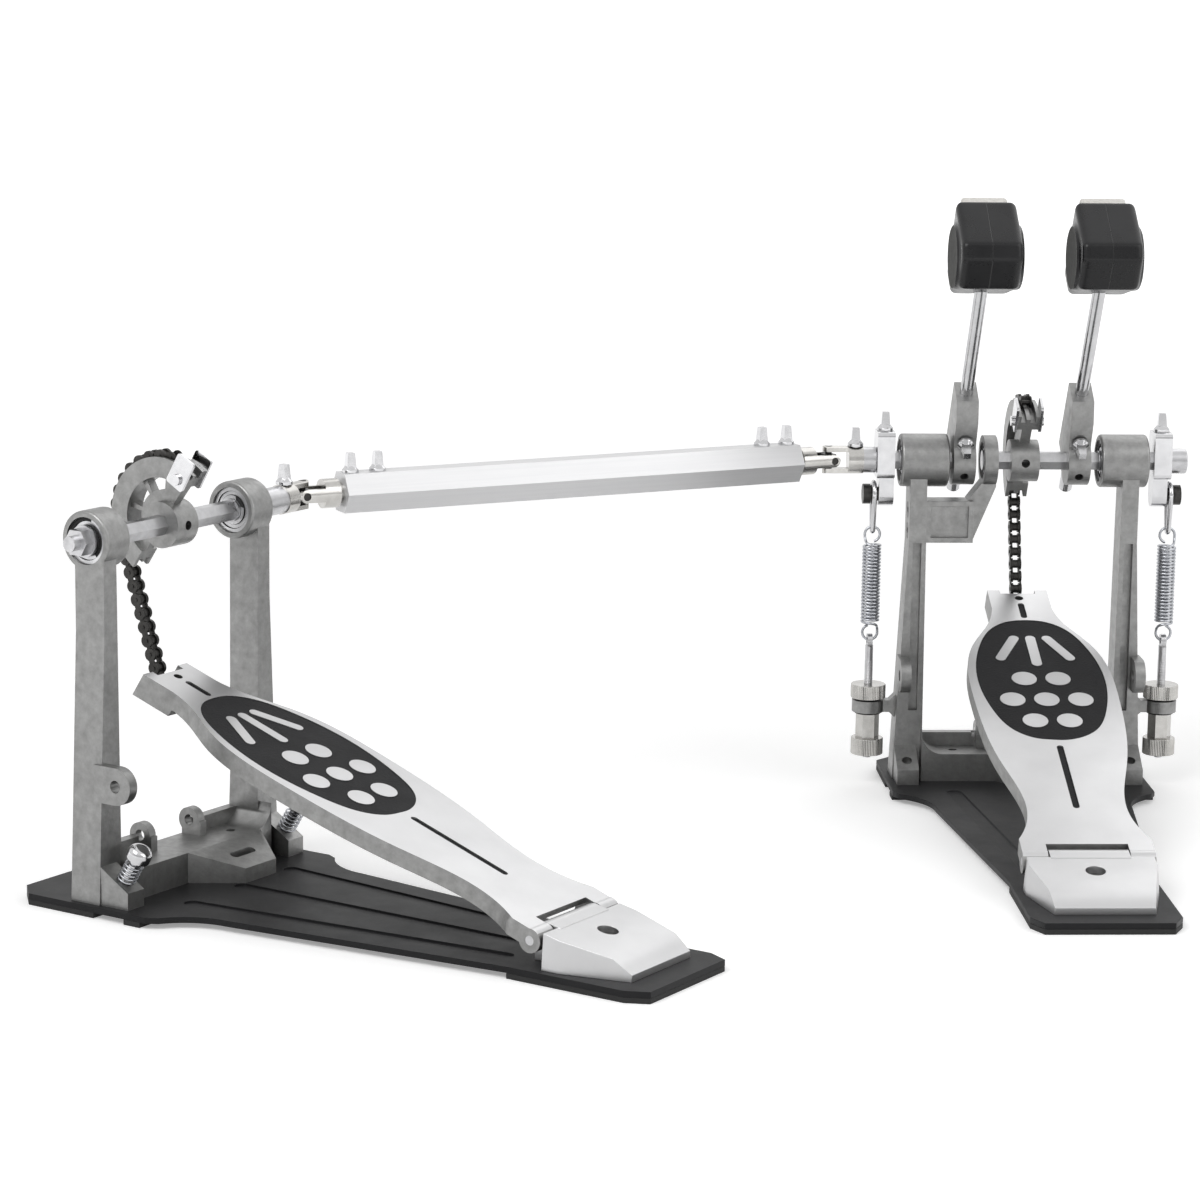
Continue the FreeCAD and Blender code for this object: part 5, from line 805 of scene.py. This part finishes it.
class PEDAL_OT_beater_heads(bpy.types.Operator):
    """Round the beater heads as soft mouldings"""

    bl_idname = "pedal.beater_heads"
    bl_label = "Beater heads"

    disc_depth: FloatProperty(name="Disc depth", description="Depth of a side disc's face", default=1.2 * MM,
                              unit="LENGTH")
    disc_facing: FloatProperty(name="Disc facing", description="Least share of the normal that faces sideways",
                               default=0.8)

    def execute(self, context):
        for side in SIDES:
            node = side + "_beater_head"
            piece = bpy.data.objects.new(node + "_moulded", frame["nodes"][node].data.copy())
            context.scene.collection.objects.link(piece)
            make_active(piece)
            turn = rod_turn(side)
            piece.matrix_world = turn.inverted()
            bpy.ops.object.transform_apply(location=True, rotation=True, scale=True)
            bpy.ops.object.modifier_add(type="REMESH")
            grid = piece.modifiers[-1]
            grid.mode = "VOXEL"
            grid.voxel_size = sizes().head_grid
            bpy.ops.object.modifier_apply(modifier=grid.name)
            bpy.ops.object.modifier_add(type="SMOOTH")
            soft = piece.modifiers[-1]
            soft.factor = HEAD_SOFTNESS
            soft.iterations = sizes().head_rounds
            bpy.ops.object.modifier_apply(modifier=soft.name)
            piece.matrix_world = turn
            bpy.ops.object.transform_apply(location=True, rotation=True, scale=True)
            bpy.ops.object.shade_smooth()
            plastic = finishes["left_plastic" if side == "left" else "black_plastic"]
            paint_object(piece, plastic, finishes["disc"])
            low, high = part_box(node)
            for face in piece.data.polygons:
                inset = min(face.center.x - low.x, high.x - face.center.x)
                if inset < self.disc_depth and abs(face.normal.x) > self.disc_facing:
                    face.material_index = 1
            stand_for(piece, node)
        return {"FINISHED"}


class PEDAL_OT_felts(bpy.types.Operator):
    """Model the felts as soft rounded blocks"""

    bl_idname = "pedal.felts"
    bl_label = "Felts"

    def execute(self, context):
        for side in SIDES:
            node = side + "_beater_felt"
            turn = rod_turn(side)
            low, high = upright_box(node, turn)
            bpy.ops.object.select_all(action="DESELECT")
            bpy.ops.mesh.primitive_cube_add(size=1.0)
            piece = context.active_object
            piece.name = node + "_pressed"
            size = high - low
            piece.matrix_world = turn @ Matrix.Translation((low + high) / 2) @ Matrix.Diagonal((*size, 1.0))
            bpy.ops.object.transform_apply(location=True, rotation=True, scale=True)
            bpy.ops.object.mode_set(mode="EDIT")
            bpy.ops.mesh.select_all(action="SELECT")
            bpy.ops.mesh.bevel(offset=sizes().felt_edge, segments=FELT_STEPS, affect="EDGES")
            bpy.ops.mesh.select_all(action="SELECT")
            bpy.ops.mesh.subdivide(number_cuts=FELT_CUTS, smoothness=0.0)
            bpy.ops.object.mode_set(mode="OBJECT")
            texture = bpy.data.textures.new(node + "_fuzz", "CLOUDS")
            texture.noise_scale = FUZZ_SCALE
            bpy.ops.object.modifier_add(type="DISPLACE")
            fuzz = piece.modifiers[-1]
            fuzz.texture = texture
            fuzz.texture_coords = "LOCAL"
            fuzz.strength = sizes().felt_fuzz
            fuzz.mid_level = 1.0
            bpy.ops.object.modifier_apply(modifier=fuzz.name)
            bpy.ops.object.shade_smooth()
            paint_object(piece, finishes["felt"])
            stand_for(piece, node)
        return {"FINISHED"}


class PEDAL_OT_stage(bpy.types.Operator):
    """Set the floor, the lamps, the background and the camera"""

    bl_idname = "pedal.stage"
    bl_label = "Stage"

    floor_reach: FloatProperty(name="Floor reach", description="Half width of the floor", default=60.0,
                               unit="LENGTH")
    lens: FloatProperty(name="Lens", description="Focal length on a 36 mm wide frame", default=114.0)

    def execute(self, context):
        self.floor()
        self.background(context)
        self.lamps()
        self.camera(context)
        context.scene.view_settings.view_transform = "Standard"
        return {"FINISHED"}

    def seen_rays(self, nodes, link):
        """1 for the rays that show the background: to the camera, in metal and in glass."""
        rays = nodes.new("ShaderNodeLightPath")
        total = rays.outputs["Is Camera Ray"]
        for kind in ("Is Glossy Ray", "Is Transmission Ray"):
            either = nodes.new("ShaderNodeMath")
            either.operation = "MAXIMUM"
            link(total, either.inputs[0])
            link(rays.outputs[kind], either.inputs[1])
            total = either.outputs[0]
        return total

    def floor(self):
        bpy.ops.object.select_all(action="DESELECT")
        bpy.ops.mesh.primitive_plane_add(size=2 * self.floor_reach)
        floor = bpy.context.active_object
        floor.name = "studio_floor"
        material = bpy.data.materials.new("studio_floor")
        material.use_nodes = True
        nodes = material.node_tree.nodes
        link = material.node_tree.links.new
        shader = nodes["Principled BSDF"]
        shader.inputs["Base Color"].default_value = (*colours().floor, 1.0)
        shader.inputs["Roughness"].default_value = FLOOR_ROUGHNESS
        shader.inputs["Specular IOR Level"].default_value = FLOOR_SPECULAR
        glow = nodes.new("ShaderNodeEmission")
        place = nodes.new("ShaderNodeTexCoord")
        reach = nodes.new("ShaderNodeVectorMath")
        reach.operation = "LENGTH"
        fade = nodes.new("ShaderNodeMapRange")
        fade.interpolation_type = "SMOOTHSTEP"
        fade.inputs["From Min"].default_value = GLOW_DISTANCES[0]
        fade.inputs["From Max"].default_value = GLOW_DISTANCES[1]
        fade.inputs["To Min"].default_value = GLOW_STRENGTHS[0]
        fade.inputs["To Max"].default_value = GLOW_STRENGTHS[1]
        both = nodes.new("ShaderNodeAddShader")
        pick = nodes.new("ShaderNodeMixShader")
        link(place.outputs["Object"], reach.inputs[0])
        link(reach.outputs["Value"], fade.inputs["Value"])
        link(fade.outputs["Result"], glow.inputs["Strength"])
        link(shader.outputs[0], both.inputs[0])
        link(glow.outputs[0], both.inputs[1])
        link(self.seen_rays(nodes, link), pick.inputs[0])
        link(shader.outputs[0], pick.inputs[1])
        link(both.outputs[0], pick.inputs[2])
        link(pick.outputs[0], nodes["Material Output"].inputs["Surface"])
        paint_object(floor, material)

    def background(self, context):
        world = bpy.data.worlds.new("studio_white")
        world.use_nodes = True
        nodes = world.node_tree.nodes
        link = world.node_tree.links.new
        lit = nodes["Background"]
        lit.inputs["Color"].default_value = WHITE
        lit.inputs["Strength"].default_value = WORLD_LIGHT
        seen = nodes.new("ShaderNodeBackground")
        seen.inputs["Color"].default_value = WHITE
        place = nodes.new("ShaderNodeTexCoord")
        split = nodes.new("ShaderNodeSeparateXYZ")
        walls = nodes.new("ShaderNodeMapRange")
        walls.interpolation_type = "SMOOTHSTEP"
        walls.inputs["From Min"].default_value = WALL_RANGE[0]
        walls.inputs["From Max"].default_value = WALL_RANGE[1]
        walls.inputs["To Min"].default_value = WALL_LEAST
        ceiling = nodes.new("ShaderNodeMapRange")
        ceiling.interpolation_type = "SMOOTHSTEP"
        ceiling.inputs["From Min"].default_value = CEILING_RANGE[0]
        ceiling.inputs["From Max"].default_value = CEILING_RANGE[1]
        brighter = nodes.new("ShaderNodeMath")
        brighter.operation = "MAXIMUM"
        pick = nodes.new("ShaderNodeMixShader")
        link(place.outputs["Generated"], split.inputs[0])
        link(split.outputs["Y"], walls.inputs["Value"])
        link(split.outputs["Z"], ceiling.inputs["Value"])
        link(walls.outputs["Result"], brighter.inputs[0])
        link(ceiling.outputs["Result"], brighter.inputs[1])
        link(brighter.outputs[0], seen.inputs["Strength"])
        link(self.seen_rays(nodes, link), pick.inputs[0])
        link(lit.outputs[0], pick.inputs[1])
        link(seen.outputs[0], pick.inputs[2])
        link(pick.outputs[0], nodes["World Output"].inputs["Surface"])
        context.scene.world = world

    def lamps(self):
        low, high = cad_box
        middle = Vector([(low[k] + high[k]) / 2 for k in range(3)])
        for name, offset, width, power in LAMPS:
            bpy.ops.object.light_add(type="AREA")
            lamp = bpy.context.active_object
            lamp.name = name
            lamp.data.shape = "SQUARE"
            lamp.data.size = width
            lamp.data.energy = power
            lamp.location = middle + Vector(offset)
            lamp.rotation_euler = (-Vector(offset)).to_track_quat("-Z", "Y").to_euler()

    def camera(self, context):
        bpy.ops.object.camera_add()
        camera = context.active_object
        camera.name = "photo_camera"
        camera.data.lens = self.lens
        camera.data.sensor_width = SENSOR_WIDTH
        camera.data.clip_end = 4 * self.floor_reach
        look = CAMERA_LOOK.normalized()
        across = (CAMERA_RIGHT - look * CAMERA_RIGHT.dot(look)).normalized()
        up = across.cross(look)
        turn = Matrix((across, up, -look)).transposed().to_4x4()
        camera.matrix_world = Matrix.Translation(CAMERA_PLACE) @ turn
        context.scene.camera = camera


class PEDAL_PT_panel(bpy.types.Panel):
    """Lists the pedal's steps and settings"""

    bl_label = "Drum pedal"
    bl_space_type = "VIEW_3D"
    bl_region_type = "UI"
    bl_category = "Pedal"

    def draw(self, context):
        for step in STEPS:
            self.layout.operator(step.bl_idname)
        for group in (context.scene.pedal_sizes, context.scene.pedal_colours):
            for name in group.__annotations__:
                self.layout.prop(group, name)


STEPS = (PEDAL_OT_finishes, PEDAL_OT_castings, PEDAL_OT_footboards, PEDAL_OT_heel_plates, PEDAL_OT_base_plates,
         PEDAL_OT_plated_pieces, PEDAL_OT_bearings, PEDAL_OT_rockers, PEDAL_OT_rod_threads,
         PEDAL_OT_beater_heads, PEDAL_OT_felts, PEDAL_OT_stage)
CLASSES = (PedalSizes, PedalColours) + STEPS + (PEDAL_PT_panel,)


def register():
    for item in CLASSES:
        bpy.utils.register_class(item)
    bpy.types.Scene.pedal_sizes = PointerProperty(type=PedalSizes)
    bpy.types.Scene.pedal_colours = PointerProperty(type=PedalColours)


def unregister():
    del bpy.types.Scene.pedal_colours
    del bpy.types.Scene.pedal_sizes
    for item in reversed(CLASSES):
        bpy.utils.unregister_class(item)


def main():
    register()
    bpy.ops.pedal.finishes()
    bpy.ops.pedal.castings()
    bpy.ops.pedal.footboards()
    bpy.ops.pedal.heel_plates()
    bpy.ops.pedal.base_plates()
    bpy.ops.pedal.plated_pieces()
    bpy.ops.pedal.bearings()
    bpy.ops.pedal.rockers()
    bpy.ops.pedal.rod_threads()
    bpy.ops.pedal.beater_heads()
    bpy.ops.pedal.felts()
    bpy.ops.pedal.stage()


if __name__ == "__main__":
    main()
